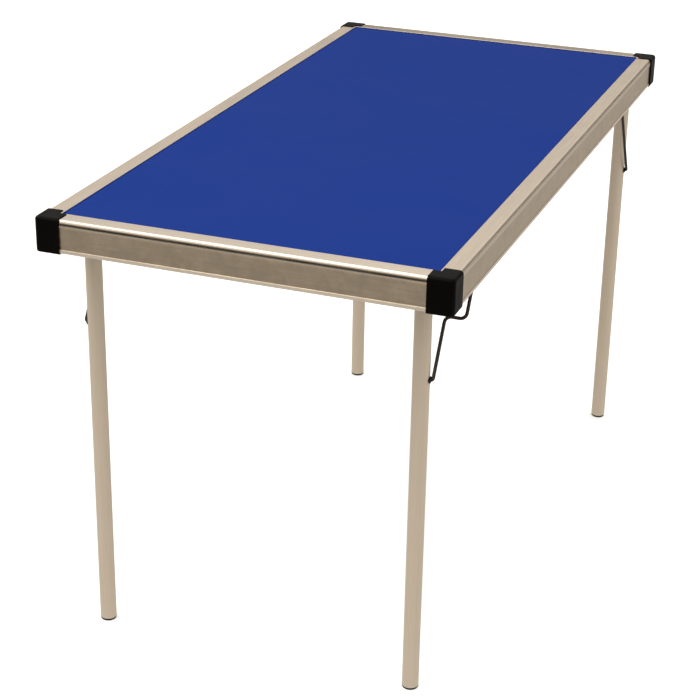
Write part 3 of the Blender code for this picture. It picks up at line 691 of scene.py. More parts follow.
def particle_board(name, base):
    """Pressed chips of wood."""
    made = Surface(name)
    inputs = {"Vector": made.place, "Scale": 420.0}
    chips = add_node(made.tree, "TexVoronoi", inputs).outputs["Distance"]
    patches = made.smudges(30.0)
    dark, light = tinted(base, 0.65), tinted(base, 1.25)
    made.colour(made.ramp(chips, 0.0, 1.4), dark, light, patches, 1.0, base)
    made.roughness(made.ramp(patches, 0.78, 0.90))
    made.bump(chips, strength=0.4, depth=0.3 * MM)
    return made.material


def backer_surface(name, base):
    """The plain brown balancing sheet under the board."""
    made = Surface(name)
    grain = made.effect(drawn_grain(), Stretch=(90.0, 5.0, 90.0), Contrast=1.0)
    texture = made.effect(fine_texture(), Per_Metre=900.0)
    patches = made.smudges(6.0)
    dark, light, patched = tinted(base, 0.85), tinted(base, 1.15), tinted(base, 0.8)
    made.colour(grain["Lines"], dark, light, patches, 0.3, patched)
    made.roughness(made.ramp(patches, 0.60, 0.72))
    made.bump(texture["Height"], strength=0.2, depth=0.06 * MM)
    return made.material


def make_surface(name):
    """Builds one of the table's finishes."""
    colours = settings().finishes
    along_x = (GRAIN_LONG, GRAIN_FINE, GRAIN_FINE)
    along_y = (GRAIN_FINE, GRAIN_LONG, GRAIN_FINE)
    rail, brushed, bead = tuple(colours.rail), tuple(colours.brushed), tuple(colours.bead)
    black, rubber = tuple(colours.cap), tuple(colours.rubber)
    # The maker of each finish and its values, in the maker's own order after the name.
    makers = {
        "satin_rail_x": (satin_aluminium, rail, along_x, 0.17, 0.9, 0.08),
        "satin_rail_y": (satin_aluminium, rail, along_y, 0.32, 0.8, 0.06),
        # The brushed faces are darkened as painted shade; the beads are lightened and made less
        # metallic as a painted highlight.
        "brushed_rail_x": (satin_aluminium, brushed, along_x, 0.36, 1.0, 0.45),
        "brushed_rail_y": (satin_aluminium, brushed, along_y, 0.36, 1.0, 0.30),
        "bead_rail_x": (satin_aluminium, bead, along_x, 0.34, 0.9, 0.10, 0.25),
        "bead_rail_y": (satin_aluminium, bead, along_y, 0.34, 0.9, 0.10, 0.25),
        "blue_laminate_face": (laminate_surface, tuple(colours.laminate)),
        "cap_plastic": (moulded_surface, black, 0.40, 0.05, 900.0, 0.4),
        "bracket_nylon": (moulded_surface, rubber, 0.50, 0.15, 1200.0, 0.5),
        "foot_rubber": (moulded_surface, rubber, 0.55, 0.12, 1500.0, 0.5),
        "champagne_paint": (painted_tube, tuple(colours.leg)),
        "stay_steel": (steel_surface, tuple(colours.wire), (500, 500, 60), 0.28),
        "zinc_plate": (steel_surface, tuple(colours.zinc), (300, 300, 300), 0.30),
        "board_chips": (particle_board, tuple(colours.board)),
        "underside_sheet": (backer_surface, tuple(colours.backer)),
    }
    maker, *values = makers[name]
    return maker(name, *values)


def surface(name):
    """A finish by name, built the first time that it is asked for."""
    return bpy.data.materials.get(name) or make_surface(name)


# ---------------------------------------------------------------- edge frame


def rail_section(half_across):
    """The rail's section before its edges are rounded, as points in the plane across its length."""
    size = settings().rails
    wall, lip = size.wall, size.lip_width
    foot_top = RAIL_DEPTH - size.bead_height
    shoulder = size.rounding_drop + size.edge_softness
    ledge_top = TABLE_TOP - BACKER_LOW.z + FIT_GAP
    ledge_bottom = ledge_top + size.ledge_thickness
    return_top = RAIL_DEPTH - size.return_thickness
    outline = (
        (0, RAIL_DEPTH), (0, foot_top), (size.face_recess, foot_top - size.recess_slope),
        (size.face_recess, shoulder + size.shoulder_slope), (0, shoulder), (0, 0), (lip, 0),
        (lip, size.lip_thickness), (size.rounding, size.lip_thickness), (wall, size.rounding),
        (wall, ledge_top), (size.ledge_width, ledge_top), (size.ledge_width, ledge_bottom),
        (wall, ledge_bottom), (wall, return_top), (size.return_width, return_top),
        (size.return_width, RAIL_DEPTH),
    )
    return [(0, u - half_across, TABLE_TOP - down) for u, down in outline]


def rail_shape(half_along, half_across):
    """A rail along X with its outer face towards -Y, rounded and mitred."""
    size = settings().rails
    points = [(x - half_along, y, z) for x, y, z in rail_section(half_across)]
    shape = draw_out(flat_outline(points), (2 * half_along, 0, 0))
    outer, foot_top = -half_across, RAIL_BOTTOM + size.bead_height
    shoulder = TABLE_TOP - size.rounding_drop - size.edge_softness
    lip_edge = outer + size.lip_width
    squash = size.rounding / size.rounding_drop
    bmesh.ops.scale(shape, vec=(1, 1, squash), verts=shape.verts)
    round_edges(
        shape,
        edges_along(shape, X_AXIS, lambda p: near(p.y, outer) and near(p.z, TABLE_TOP * squash)),
        size.rounding, size.rounding_steps,
    )
    bmesh.ops.scale(shape, vec=(1, 1, 1 / squash), verts=shape.verts)
    small = edges_along(
        shape, X_AXIS,
        lambda p: (near(p.y, outer) and (near(p.z, RAIL_BOTTOM) or near(p.z, foot_top)))
        or (near(p.y, lip_edge) and near(p.z, TABLE_TOP)),
    )
    round_edges(shape, small, size.edge_softness, 3)
    round_edges(
        shape,
        edges_along(shape, X_AXIS, lambda p: near(p.y, outer) and near(p.z, shoulder)),
        size.edge_softness / 2, 2,
    )
    for end in (-1, 1):
        inner = end * (half_along - size.lip_width - FIT_GAP)
        slice_off(shape, (inner, lip_edge, 0), (end, 1, 0))
        slice_off(shape, (end * (half_along - size.nose_cut), 0, 0), (end, 0, 0))
    return shape


def mark_outer_faces(shape, outer_y):
    """Gives the recessed outer face the second finish, a darker copy of the aluminium as painted
    shade, and the bead below it the third, a lighter copy as a painted highlight.
    """
    size = settings().rails
    foot_top = RAIL_BOTTOM + size.bead_height - TINY
    high = TABLE_TOP - size.rounding_drop - size.edge_softness + TINY
    for face in shape.faces:
        middle = face.calc_center_median()
        if middle.z < high and abs(middle.y - outer_y) < 1.5 * size.face_recess:
            face.material_index = 1 if middle.z > foot_top else 2


def screw_rods(corner, kind, turn, top):
    """Rods for a fitting's two screw holes, up to a height."""
    radius = settings().fittings.shank_radius + FIT_GAP
    rods = []
    for number in (1, 2):
        low, high = before_turn(f"{corner}_{kind}_screw_{number}", turn)
        x, y = (low.x + high.x) / 2, (low.y + high.y) / 2
        rods.append(rod(radius, (x, y, FITTING_TOP - HOLE_START), (x, y, top), HOLE_STEPS))
    return rods


def side_screw_holes(side_name):
    """Rods for the screw holes in the ledge along one side."""
    holes = []
    for corner, _, _ in CORNERS:
        if corner.endswith(side_name):
            for kind in ("bracket", "catch"):
                holes += screw_rods(corner, kind, FRONT, BACKER_HIGH.z)
    return holes


class TABLE_OT_edge_rails(bpy.types.Operator):
    """Build the four aluminium edge rails"""

    bl_idname = "folding_table.edge_rails"
    bl_label = "Edge Rails"

    def execute(self, context):
        sides = (
            ("front", HALF_WIDTH, HALF_LENGTH, FRONT, "x"),
            ("right", HALF_LENGTH, HALF_WIDTH, QUARTER, "y"),
            ("back", HALF_WIDTH, HALF_LENGTH, BACK, "x"),
            ("left", HALF_LENGTH, HALF_WIDTH, QUARTER.inverted(), "y"),
        )
        for name, half_along, half_across, turn, way in sides:
            shape = rail_shape(half_along, half_across)
            mark_outer_faces(shape, -half_across)
            if name in ("left", "right"):
                bmesh.ops.transform(shape, matrix=turn, verts=shape.verts)
                shape = carved(shape, side_screw_holes(name))
                turn = FRONT
            # The satin top, the outer face darkened as painted shade, and the bead lightened as a
            # painted highlight.
            kinds = ("satin", "brushed", "bead")
            surfaces = tuple(surface(f"{kind}_rail_{way}") for kind in kinds)
            finish_piece(
                name + "_edge_rail", shape, surfaces, "table_top", name + "_rail", turn
            )
        return {"FINISHED"}


# ---------------------------------------------------------------- board


class TABLE_OT_board(bpy.types.Operator):
    """Build the blue top sheet and finish the board below it"""

    bl_idname = "folding_table.board"
    bl_label = "Board"

    def execute(self, context):
        shape = bmesh.new()
        bmesh.ops.create_grid(shape, x_segments=12, y_segments=24, size=1.0)
        bmesh.ops.scale(shape, vec=(SHEET_HIGH.x, SHEET_HIGH.y, 1), verts=shape.verts)
        bmesh.ops.translate(shape, vec=(0, 0, SHEET_HIGH.z), verts=shape.verts)
        grown = bmesh.ops.extrude_face_region(shape, geom=shape.faces[:])
        lower = [part for part in grown["geom"] if isinstance(part, bmesh.types.BMVert)]
        bmesh.ops.translate(shape, vec=(0, 0, SHEET_LOW.z - SHEET_HIGH.z), verts=lower)
        bmesh.ops.recalc_face_normals(shape, faces=shape.faces)
        round_edges(shape, sharp_edges(shape), SHEET_EDGE, 2)
        finish_piece(
            "blue_top_sheet", shape, (surface("blue_laminate_face"),), "table_top",
            "blue_laminate",
        )
        for node, name in (
            ("table_board", "board_chips"), ("underside_laminate", "underside_sheet")
        ):
            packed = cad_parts[node]
            packed.data.materials.clear()
            packed.data.materials.append(surface(name))
        return {"FINISHED"}


# ---------------------------------------------------------------- corners


def corner_bar(low, high, arm, band):
    """An upright bar with the outline of a corner, on the side of positive X and Y."""
    outer_x, outer_y = max(abs(low.x), abs(high.x)), max(abs(low.y), abs(high.y))
    outline = (
        (outer_x, outer_y), (outer_x - arm, outer_y), (outer_x - arm, outer_y - band),
        (outer_x - band, outer_y - band), (outer_x - band, outer_y - arm), (outer_x, outer_y - arm),
    )
    points = [(x, y, low.z) for x, y in outline]
    return draw_out(flat_outline(points), (0, 0, high.z - low.z)), outer_x, outer_y


def cap_shape(node, x_side, y_side):
    """One moulded cap over a mitred corner, hollow for the rails."""
    size = settings().caps
    low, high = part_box(node)
    shape, outer_x, outer_y = corner_bar(low, high, size.arm, size.band)
    corner = Vector((outer_x, outer_y))
    round_edges(
        shape,
        edges_along(shape, Z_AXIS, lambda p: (p.xy - corner).length < MM),
        size.corner_rounding, 10,
    )
    reach = size.corner_rounding

    def outside(p):
        on_x = p.x > outer_x - TINY
        on_y = p.y > outer_y - TINY
        return on_x or on_y or (p.x > outer_x - reach and p.y > outer_y - reach)

    for height, radius, segments in (
        (high.z, size.top_rounding, 8), (low.z, size.bottom_rounding, 4)
    ):
        around = [
            edge for edge in edges_where(shape, lambda p: near(p.z, height) and outside(p))
            if not near(edge.calc_face_angle(0), 0, 0.1)
        ]
        round_edges(shape, around, radius, segments)
    rims = [
        edge for edge in sharp_edges(shape)
        if all(end.co.z > low.z + size.bottom_rounding for end in edge.verts)
    ]
    round_edges(shape, rims, size.edge_softness, 3)
    cavity = cap_cavity()
    for part in (shape, cavity):
        bmesh.ops.scale(part, vec=(x_side, y_side, 1), verts=part.verts)
        bmesh.ops.recalc_face_normals(part, faces=part.faces)
    return carved(shape, [cavity])


def cap_cavity():
    """The room for the rails inside a cap, with its upper outer edges sloped."""
    size = settings().caps
    reach_x, reach_y = HALF_WIDTH + FIT_GAP, HALF_LENGTH + FIT_GAP
    ceiling = TABLE_TOP + FIT_GAP
    inner = 2 * size.arm
    shape = block(
        (reach_x - inner, reach_y - inner, RAIL_BOTTOM - FIT_GAP), (reach_x, reach_y, ceiling)
    )
    slope = ceiling - size.cavity_chamfer
    slice_off(shape, (reach_x, 0, slope), (1, 0, 1))
    slice_off(shape, (0, reach_y, slope), (0, 1, 1))
    slice_off(shape, (reach_x, reach_y - size.cavity_corner, 0), (1, 1, 0))
    return shape


class TABLE_OT_corners(bpy.types.Operator):
    """Build the corner caps and the angles inside them"""

    bl_idname = "folding_table.corners"
    bl_label = "Corners"

    def execute(self, context):
        thick = settings().fittings.angle_thickness
        for y_name, y_side in (("front", -1), ("back", 1)):
            for x_name, x_side in (("left", -1), ("right", 1)):
                corner = f"{y_name}_{x_name}"
                node = corner + "_corner_cap"
                finish_piece(
                    corner + "_cap_moulding", cap_shape(node, x_side, y_side),
                    (surface("cap_plastic"),), "table_top", node,
                )
                low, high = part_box(corner + "_corner_angle")
                shape, far_x, far_y = corner_bar(low, high, high.x - low.x, thick)
                fold = edges_along(
                    shape, Z_AXIS, lambda p: near(p.x, far_x) and near(p.y, far_y)
                )
                round_edges(shape, fold, thick, 6)
                inside = edges_along(
                    shape, Z_AXIS, lambda p: near(p.x, far_x - thick) and near(p.y, far_y - thick)
                )
                round_edges(shape, inside, thick / 2, 4)
                bmesh.ops.scale(shape, vec=(x_side, y_side, 1), verts=shape.verts)
                finish_piece(
                    corner + "_angle_plate", shape, (surface("zinc_plate"),), "table_top",
                    corner + "_corner_angle",
                )
        return {"FINISHED"}


# ---------------------------------------------------------------- legs


def tube_shape(outer, wall, start, end, segments):
    """A tube with lightly broken ends."""
    run = (Vector(end) - Vector(start)).length
    edge = min(wall / 4, SMALL_EDGE)
    inner = outer - wall
    loop = (
        (outer, edge), (outer, run - edge), (outer - edge, run), (inner + edge, run),
        (inner, run - edge), (inner, edge), (inner + edge, 0), (outer - edge, 0),
    )
    return turned(loop, start, Vector(end) - Vector(start), segments, ring=True)


class TABLE_OT_legs(bpy.types.Operator):
    """Build the legs, their crossbars and their feet"""

    bl_idname = "folding_table.legs"
    bl_label = "Legs"

    def execute(self, context):
        size = settings().legs
        paint, rubber = (surface("champagne_paint"),), (surface("foot_rubber"),)
        for corner, side, turn in CORNERS:
            body = corner.split("_")[0] + "_leg_frame"
            low, high = before_turn(corner + "_leg", turn)
            x = (low.x + high.x) / 2
            shape = tube_shape(
                LEG_RADIUS, size.wall, (x, PIVOT.y, low.z), (x, PIVOT.y, high.z), size.tube_steps
            )
            past = 2 * LEG_RADIUS
            bore = rod(
                CROSSBAR_RADIUS + size.hole_room,
                (x - past, PIVOT.y, PIVOT.z), (x + past, PIVOT.y, PIVOT.z), size.tube_steps,
            )
            eye = rod(
                settings().fittings.sleeve_radius + size.hole_room,
                (x, PIVOT.y, STAY_FOOT_HEIGHT), (x + side * past, PIVOT.y, STAY_FOOT_HEIGHT),
                EYE_STEPS,
            )
            finish_piece(
                corner + "_leg_tube", carved(shape, [bore, eye]), paint, body,
                corner + "_leg", turn,
            )
            self.foot(corner, x, turn, body, rubber)
        for end, turn in (("front", FRONT), ("back", BACK)):
            low, high = before_turn(end + "_crossbar", turn)
            shape = tube_shape(
                CROSSBAR_RADIUS, size.crossbar_wall, (low.x, PIVOT.y, PIVOT.z),
                (high.x, PIVOT.y, PIVOT.z), size.tube_steps,
            )
            finish_piece(
                end + "_crossbar_tube", shape, paint, end + "_leg_frame",
                end + "_crossbar", turn,
            )
        return {"FINISHED"}

    def foot(self, corner, x, turn, body, rubber):
        """A plug in the bottom of a leg, rounded where it stands on the floor."""
        size = settings().legs
        low, high = before_turn(corner + "_foot", turn)
        radius = (high.x - low.x) / 2
        stem = LEG_RADIUS - size.wall - FIT_GAP
        profile = (
            (0, 0), (radius, 0), (radius, size.foot_height), (stem, size.foot_height),
            (stem, high.z), (0, high.z),
        )
        shape = turned(profile, (x, PIVOT.y, 0), Z_AXIS, size.tube_steps)
        middle = Vector((x, PIVOT.y))

        def outer_rim(height):
            return edges_where(
                shape, lambda p: near(p.z, height) and (p.xy - middle).length > radius - TINY
            )

        round_edges(shape, outer_rim(0), size.foot_rounding, 8)
        round_edges(shape, outer_rim(size.foot_height), SMALL_EDGE, 2)
        finish_piece(
            corner + "_foot_plug", shape, rubber, body, corner + "_foot", turn
        )


# ---------------------------------------------------------------- stays


def stay_path(leg_x, side, jogged):
    """The corners of a stay's path, from its end in the leg to its hook, and the bend at each."""
    size = settings().stays
    foot = Vector((0, PIVOT.y, STAY_FOOT_HEIGHT))
    along = Vector((0, math.sin(size.lean), math.cos(size.lean)))
    run = (PIVOT.z - STAY_FOOT_HEIGHT) / math.cos(size.lean)

    def at(across, distance):
        return foot + along * distance + X_AXIS * across

    beside = leg_x + side * (LEG_RADIUS + size.leg_room + size.diameter / 2)
    corners = [at(leg_x + side * (LEG_RADIUS - size.eye_depth), 0), at(beside, 0)]
    bends = [size.eye_bend]
    if jogged:
        corners.append(at(beside, size.jog_along))
        beside += side * size.jog_out
        corners.append(at(beside, size.jog_along))
        bends += [size.jog_bend, size.jog_bend]
    corners.append(at(beside, run))
    corners.append(at(side * (FITTING_X + size.hook_past_catch), run))
    bends.append(size.hook_bend)
    return corners, bends


def bent_wire(corners, bends, radius, segments, bend_steps):
    """A round wire drawn along a path and bent at its corners."""
    shape = bmesh.new()
    heading = (corners[1] - corners[0]).normalized()
    turn = heading.to_track_quat("Z", "Y").to_matrix().to_4x4()
    start = bmesh.ops.create_circle(
        shape, cap_ends=False, radius=radius, segments=segments,
        matrix=Matrix.Translation(corners[0]) @ turn,
    )
    ring = list({edge for vert in start["verts"] for edge in vert.link_edges})
    first_ring, here = ring[:], corners[0]
    for at, after, bend in zip(corners[1:], corners[2:] + [None], bends + [0]):
        trim = 0
        if after is not None:
            new_heading = (after - at).normalized()
            angle = heading.angle(new_heading)
            trim = bend * math.tan(angle / 2)
        reach = at - heading * trim
        grown = bmesh.ops.extrude_edge_only(shape, edges=ring)["geom"]
        verts = [part for part in grown if isinstance(part, bmesh.types.BMVert)]
        bmesh.ops.translate(shape, vec=reach - here, verts=verts)
        ring = [
            part for part in grown
            if isinstance(part, bmesh.types.BMEdge) and all(end in verts for end in part.verts)
        ]
        here = reach
        if after is None:
            break
        axis = heading.cross(new_heading).normalized()
        centre = reach + axis.cross(heading).normalized() * bend
        spun = bmesh.ops.spin(
            shape, geom=ring + verts, cent=centre, axis=axis, dvec=(0, 0, 0), angle=angle,
            steps=bend_steps, use_merge=False, use_duplicate=False,
        )
        ring = [part for part in spun["geom_last"] if isinstance(part, bmesh.types.BMEdge)]
        heading, here = new_heading, at + new_heading * trim
    for end in (first_ring, ring):
        bmesh.ops.contextual_create(shape, geom=end)
    bmesh.ops.recalc_face_normals(shape, faces=shape.faces)
    round_edges(shape, sharp_edges(shape), radius / 5, 3)
    return shape


class TABLE_OT_stays(bpy.types.Operator):
    """Bend the wire stays and turn their bushes"""

    bl_idname = "folding_table.stays"
    bl_label = "Wire Stays"

    def execute(self, context):
        size, fitting = settings().stays, settings().fittings
        wire = size.diameter / 2
        for corner, side, turn in CORNERS:
            low, high = before_turn(corner + "_leg", turn)
            leg_x = (low.x + high.x) / 2
            corners, bends = stay_path(leg_x, side, side > 0)
            shape = bent_wire(corners, bends, wire, size.wire_steps, size.bend_steps)
            finish_piece(
                corner + "_wire_stay", shape, (surface("stay_steel"),), corner + "_stay",
                corner + "_stay", turn,
            )
            low, high = before_turn(corner + "_stay_bush", turn)
            bore = wire + FIT_GAP
            flange = (high.z - low.z) / 2
            face = LEG_RADIUS + FIT_GAP
            span = high.x - low.x
            top = face + fitting.flange_width
            sleeve, soft = fitting.sleeve_radius, SMALL_EDGE
            loop = (
                (bore, top - span), (sleeve, top - span), (sleeve, face), (flange, face),
                (flange, top - soft), (flange - soft, top), (bore + soft, top), (bore, top - soft),
            )
            place = (leg_x, PIVOT.y, STAY_FOOT_HEIGHT)
            shape = turned(loop, place, (side, 0, 0), BUSH_STEPS, ring=True)
            finish_piece(
                corner + "_flanged_bush", shape, (surface("bracket_nylon"),),
                corner.split("_")[0] + "_leg_frame", corner + "_stay_bush", turn,
            )
        return {"FINISHED"}


# ---------------------------------------------------------------- fittings


class TABLE_OT_brackets(bpy.types.Operator):
    """Build the moulded brackets that the crossbars turn in"""

    bl_idname = "folding_table.brackets"
    bl_label = "Pivot Brackets"

    def execute(self, context):
        size = settings().fittings
        for corner, _, turn in CORNERS:
            low, high = before_turn(corner + "_pivot_bracket", turn)
            boss, ear = size.boss_radius, high.z - size.ear_thickness
            y = PIVOT.y
            outline = (
                (high.y, high.z), (low.y, high.z), (low.y, ear), (y - boss, ear),
                (y - boss, PIVOT.z - boss), (y + boss, PIVOT.z - boss), (y + boss, ear),
                (high.y, ear),
            )
            shape = flat_outline([(low.x, along, up) for along, up in outline])
            draw_out(shape, (high.x - low.x, 0, 0))
            under = edges_along(shape, X_AXIS, lambda p: near(p.z, PIVOT.z - boss))
            round_edges(shape, under, boss - BOSS_SHORT, 16)
            crooks = edges_along(
                shape, X_AXIS, lambda p: near(p.z, ear) and near(abs(p.y - y), boss)
            )
            round_edges(shape, crooks, CROOK_ROUNDING, 5)
            round_edges(shape, sharp_edges(shape), size.moulded_edge, 3)
            bore = rod(
                CROSSBAR_RADIUS + size.bore_room, (low.x - MM, y, PIVOT.z),
                (high.x + MM, y, PIVOT.z), BORE_STEPS,
            )
            holes = screw_rods(corner, "bracket", turn, FITTING_TOP + HOLE_END)
            finish_piece(
                corner + "_pivot_block", carved(shape, [bore, *holes]),
                (surface("bracket_nylon"),), "table_top",
                corner + "_pivot_bracket", turn,
            )
        return {"FINISHED"}


def catch_outline(low, high, notch_y, notch):
    """The catch's web from the side: a plate with a slot that opens ahead of its notch."""
    size = settings().fittings
    slope = math.tan(size.jaw_slope)
    lower_y = notch_y - notch * math.sin(size.jaw_slope)
    lower_z = PIVOT.z - notch * math.cos(size.jaw_slope)
    tip = notch_y + size.jaw_reach
    behind = size.catch_behind
    return (
        (low.y, high.z), (high.y, high.z), (high.y, PIVOT.z + notch + 2 * size.catch_thickness),
        (tip, PIVOT.z + notch), (notch_y, PIVOT.z + notch), (lower_y, lower_z),
        (tip, lower_z - (tip - lower_y) * slope), (tip - size.catch_thickness, low.z),
        (notch_y - behind / 2, low.z), (low.y, PIVOT.z - (PIVOT.z - low.z) / 2),
    )


class TABLE_OT_catches(bpy.types.Operator):
    """Fold the notched catches that hold the stays"""

    bl_idname = "folding_table.catches"
    bl_label = "Stay Catches"

    def execute(self, context):
        size = settings().fittings
        for corner, side, turn in CORNERS:
            low, high = before_turn(corner + "_stay_catch", turn)
            notch_y = low.y + size.catch_behind
            notch = settings().stays.diameter / 2 + size.notch_room
            outer = side * FITTING_X
            web = outer - side * size.catch_thickness
            inner = low.x if side > 0 else high.x
            under = high.z - size.flange_thickness
            section = (
                (outer, low.z), (outer, high.z), (inner, high.z), (inner, under), (web, under),
                (web, low.z),
            )
            shape = flat_outline([(x, low.y, z) for x, z in section])
            draw_out(shape, (0, high.y - low.y, 0))
            fold = edges_along(shape, Y_AXIS, lambda p: near(p.x, outer) and near(p.z, high.z))
            round_edges(shape, fold, size.fold_radius, 6)
            crook = edges_along(shape, Y_AXIS, lambda p: near(p.x, web) and near(p.z, under))
            round_edges(shape, crook, size.fold_radius / 3, 4)
            wide = 4 * size.catch_thickness + abs(outer - inner)
            start = min(outer, inner) - 2 * size.catch_thickness
            points = [(start, y, z) for y, z in catch_outline(low, high, notch_y, notch)]
            blank = draw_out(flat_outline(points), (wide, 0, 0))
            ends = edges_along(
                blank, X_AXIS,
                lambda p: (near(p.z, low.z) or near(p.y, low.y)) and p.z < under,
            )
            round_edges(blank, ends, MM, 4)
            shape = carved(shape, [blank], "INTERSECT")
            seat = rod(
                notch, (start, notch_y, PIVOT.z), (start + wide, notch_y, PIVOT.z), NOTCH_STEPS
            )
            holes = screw_rods(corner, "catch", turn, FITTING_TOP + HOLE_END)
            shape = carved(shape, [seat, *holes])
            finish_piece(
                corner + "_notched_catch", shape, (surface("zinc_plate"),), "table_top",
                corner + "_stay_catch", turn,
            )
        return {"FINISHED"}


def screw_shape():
    """A pan-head screw with a cross recess, pointing up, its head's seat at the origin."""
    size = settings().fittings
    low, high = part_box("front_left_bracket_screw_1")
    head = (high.x - low.x) / 2
    down, shank = size.head_height, size.shank_radius
    point = high.z - low.z - down
    profile = (
        (0, -down), (head, -down), (head, 0), (shank, 0), (shank, point - SCREW_TIP), (0, point),
    )
    shape = turned(profile, (0, 0, 0), Z_AXIS, SCREW_STEPS)
    rim = edges_where(shape, lambda p: near(p.z, -down) and p.xy.length > head / 2)
    round_edges(shape, rim, down * HEAD_ROUNDING, 7)
    arms = []
    for x, y in ((RECESS_LONG, RECESS_WIDE), (RECESS_WIDE, RECESS_LONG)):
        arms.append(block((-x / 2, -y / 2, -down - MM), (x / 2, y / 2, RECESS_DEEP - down)))
    return carved(shape, arms)


class TABLE_OT_screws(bpy.types.Operator):
    """Drive the screws of the brackets and catches"""

    bl_idname = "folding_table.screws"
    bl_label = "Screws"

    def execute(self, context):
        pattern = screw_shape()
        down = settings().fittings.head_height
        for corner, _, _ in CORNERS:
            for kind in ("bracket", "catch"):
                for number in (1, 2):
                    node = f"{corner}_{kind}_screw_{number}"
                    low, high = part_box(node)
                    middle = (low + high) / 2
                    shape = pattern.copy()
                    spun = Matrix.Rotation(number + len(corner), 4, "Z")
                    place = Matrix.Translation((middle.x, middle.y, low.z + down))
                    bmesh.ops.transform(shape, matrix=place @ spun, verts=shape.verts)
                    finish_piece(
                        f"{corner}_{kind}_pan_screw_{number}", shape, (surface("zinc_plate"),),
                        "table_top", node,
                    )
        pattern.free()
        return {"FINISHED"}


# ---------------------------------------------------------------- stage


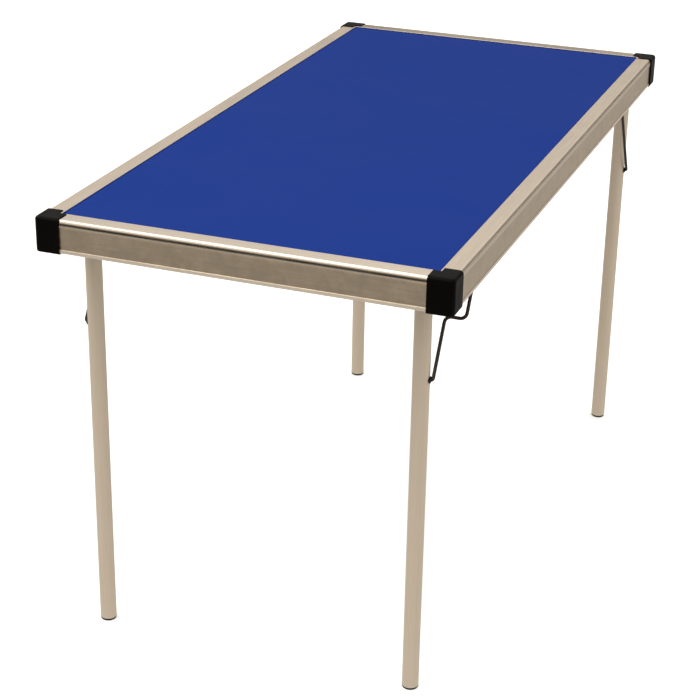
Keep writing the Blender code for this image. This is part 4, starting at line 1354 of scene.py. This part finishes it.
class TABLE_OT_stage(bpy.types.Operator):
    """Set the floor, the lights and the camera"""

    bl_idname = "folding_table.stage"
    bl_label = "Stage"

    def execute(self, context):
        self.floor()
        self.sky(context.scene)
        self.softbox(context.scene)
        self.camera(context.scene)
        context.scene.view_settings.view_transform = "Standard"
        return {"FINISHED"}

    def floor(self):
        """A wide pale floor, which the metal sees as a glow that fades out ahead of the table."""
        shape = bmesh.new()
        bmesh.ops.create_grid(
            shape, x_segments=1, y_segments=1, size=settings().stage.floor_reach
        )
        floor = as_object("studio_floor", shape)
        made = bpy.data.materials.new("studio_floor_paint")
        made.use_nodes = True
        tree = made.node_tree
        shader, out = tree.nodes["Principled BSDF"], tree.nodes["Material Output"]
        for name, value in (
            ("Base Color", (*settings().finishes.floor, 1.0)), ("Roughness", 0.9),
            ("Specular IOR Level", 0.0), ("Emission Color", WHITE), ("Emission Strength", 0.45),
        ):
            shader.inputs[name].default_value = value
        place = add_node(tree, "TexCoord", {}).outputs["Object"]
        along = add_node(tree, "SeparateXYZ", {0: place}).outputs["Y"]
        glow = stretched(tree, along, *FLOOR_GLOW_REACH, *FLOOR_GLOW)
        dim = add_node(tree, "Emission", {"Color": FLOOR_GLOW_COLOUR, "Strength": glow})
        clear = add_node(tree, "BsdfTransparent", {})
        seen = add_node(tree, "LightPath", {}).outputs["Is Camera Ray"]
        under = add_node(tree, "NewGeometry", {}).outputs["Backfacing"]
        above = add_node(tree, "MixShader", {0: seen, 1: dim.outputs[0], 2: shader.outputs[0]})
        whole = add_node(tree, "MixShader", {0: under, 1: above.outputs[0], 2: clear.outputs[0]})
        tree.links.new(whole.outputs[0], out.inputs["Surface"])
        floor.data.materials.append(made)

    def sky(self, scene):
        """A white surround, dimmer towards the horizon where only the metal sees it."""
        world = bpy.data.worlds.new("studio")
        scene.world = world
        world.use_nodes = True
        tree = world.node_tree
        tree.nodes.clear()
        out = add_node(tree, "OutputWorld", {})
        place = add_node(tree, "TexCoord", {}).outputs["Generated"]
        height = add_node(tree, "SeparateXYZ", {0: place}).outputs["Z"]
        ramp = add_node(tree, "ValToRGB", {"Fac": height})
        stops = ramp.color_ramp.elements
        for stop, (position, value) in zip(stops, (SKY_STOPS[0], SKY_STOPS[-1])):
            stop.position, stop.color = position, value
        stops.new(SKY_STOPS[1][0]).color = SKY_STOPS[1][1]
        dim = add_node(tree, "Background", {"Color": ramp.outputs["Color"]})
        white = add_node(tree, "Background", {"Color": WHITE})
        seen = add_node(tree, "LightPath", {}).outputs["Is Camera Ray"]
        mix = add_node(tree, "MixShader", {0: seen, 1: dim.outputs[0], 2: white.outputs[0]})
        tree.links.new(mix.outputs[0], out.inputs["Surface"])

    def softbox(self, scene):
        """One large soft light above the front left of the table."""
        size = settings().stage
        data = bpy.data.lights.new("overhead_softbox", "AREA")
        data.shape = "SQUARE"
        data.size = size.softbox_size
        data.energy = size.softbox_power
        light = bpy.data.objects.new("overhead_softbox", data)
        scene.collection.objects.link(light)
        towards = Vector(SOFTBOX_WAY)
        light.location = Vector((0, SOFTBOX_AIM_Y, TABLE_TOP)) + towards * SOFTBOX_DISTANCE
        light.rotation_euler = (-towards).to_track_quat("-Z", "Y").to_euler()

    def camera(self, scene):
        """The camera ahead of the table, to its right and above it."""
        data = bpy.data.cameras.new("view_camera")
        data.lens = CAMERA_LENS
        data.sensor_width = 36.0
        data.clip_end = 500.0
        camera = bpy.data.objects.new("view_camera", data)
        scene.collection.objects.link(camera)
        facing = Vector((
            math.cos(CAMERA_TILT) * math.cos(CAMERA_TURN),
            math.cos(CAMERA_TILT) * math.sin(CAMERA_TURN),
            math.sin(CAMERA_TILT),
        ))
        turn = facing.to_track_quat("-Z", "Y") @ Quaternion(Z_AXIS, CAMERA_ROLL)
        camera.location = CAMERA_PLACE
        camera.rotation_euler = turn.to_euler()
        scene.camera = camera


PIECE_OPERATORS = (
    TABLE_OT_stage,
    TABLE_OT_edge_rails,
    TABLE_OT_board,
    TABLE_OT_corners,
    TABLE_OT_legs,
    TABLE_OT_stays,
    TABLE_OT_brackets,
    TABLE_OT_catches,
    TABLE_OT_screws,
)


class TABLE_PT_builder(bpy.types.Panel):
    """The steps of building the table"""

    bl_label = "Folding Table"
    bl_idname = "TABLE_PT_builder"
    bl_space_type = "VIEW_3D"
    bl_region_type = "UI"
    bl_category = "Folding Table"

    def draw(self, context):
        column = self.layout.column()
        for step in PIECE_OPERATORS:
            column.operator(step.bl_idname)
        table = context.scene.folding_table
        for title, group in (
            ("Rails", table.rails), ("Caps", table.caps), ("Legs", table.legs),
            ("Stays", table.stays), ("Fittings", table.fittings), ("Finishes", table.finishes),
            ("Stage", table.stage),
        ):
            box = self.layout.box()
            box.label(text=title)
            for name in group.bl_rna.properties.keys():
                if name not in ("rna_type", "name"):
                    box.prop(group, name)


CLASSES = (
    EdgeRailSizes,
    CornerCapSizes,
    LegSizes,
    StaySizes,
    FittingSizes,
    Finishes,
    StageSizes,
    FoldingTable,
    *PIECE_OPERATORS,
    TABLE_PT_builder,
)


def register():
    """Adds the builder to Blender."""
    for each in CLASSES:
        bpy.utils.register_class(each)
    bpy.types.Scene.folding_table = PointerProperty(type=FoldingTable)


def unregister():
    """Takes the builder out of Blender."""
    del bpy.types.Scene.folding_table
    for each in reversed(CLASSES):
        bpy.utils.unregister_class(each)


def main():
    """Builds the table."""
    register()
    bpy.ops.folding_table.stage()
    bpy.ops.folding_table.edge_rails()
    bpy.ops.folding_table.board()
    bpy.ops.folding_table.corners()
    bpy.ops.folding_table.legs()
    bpy.ops.folding_table.stays()
    bpy.ops.folding_table.brackets()
    bpy.ops.folding_table.catches()
    bpy.ops.folding_table.screws()


if __name__ == "__main__":
    main()
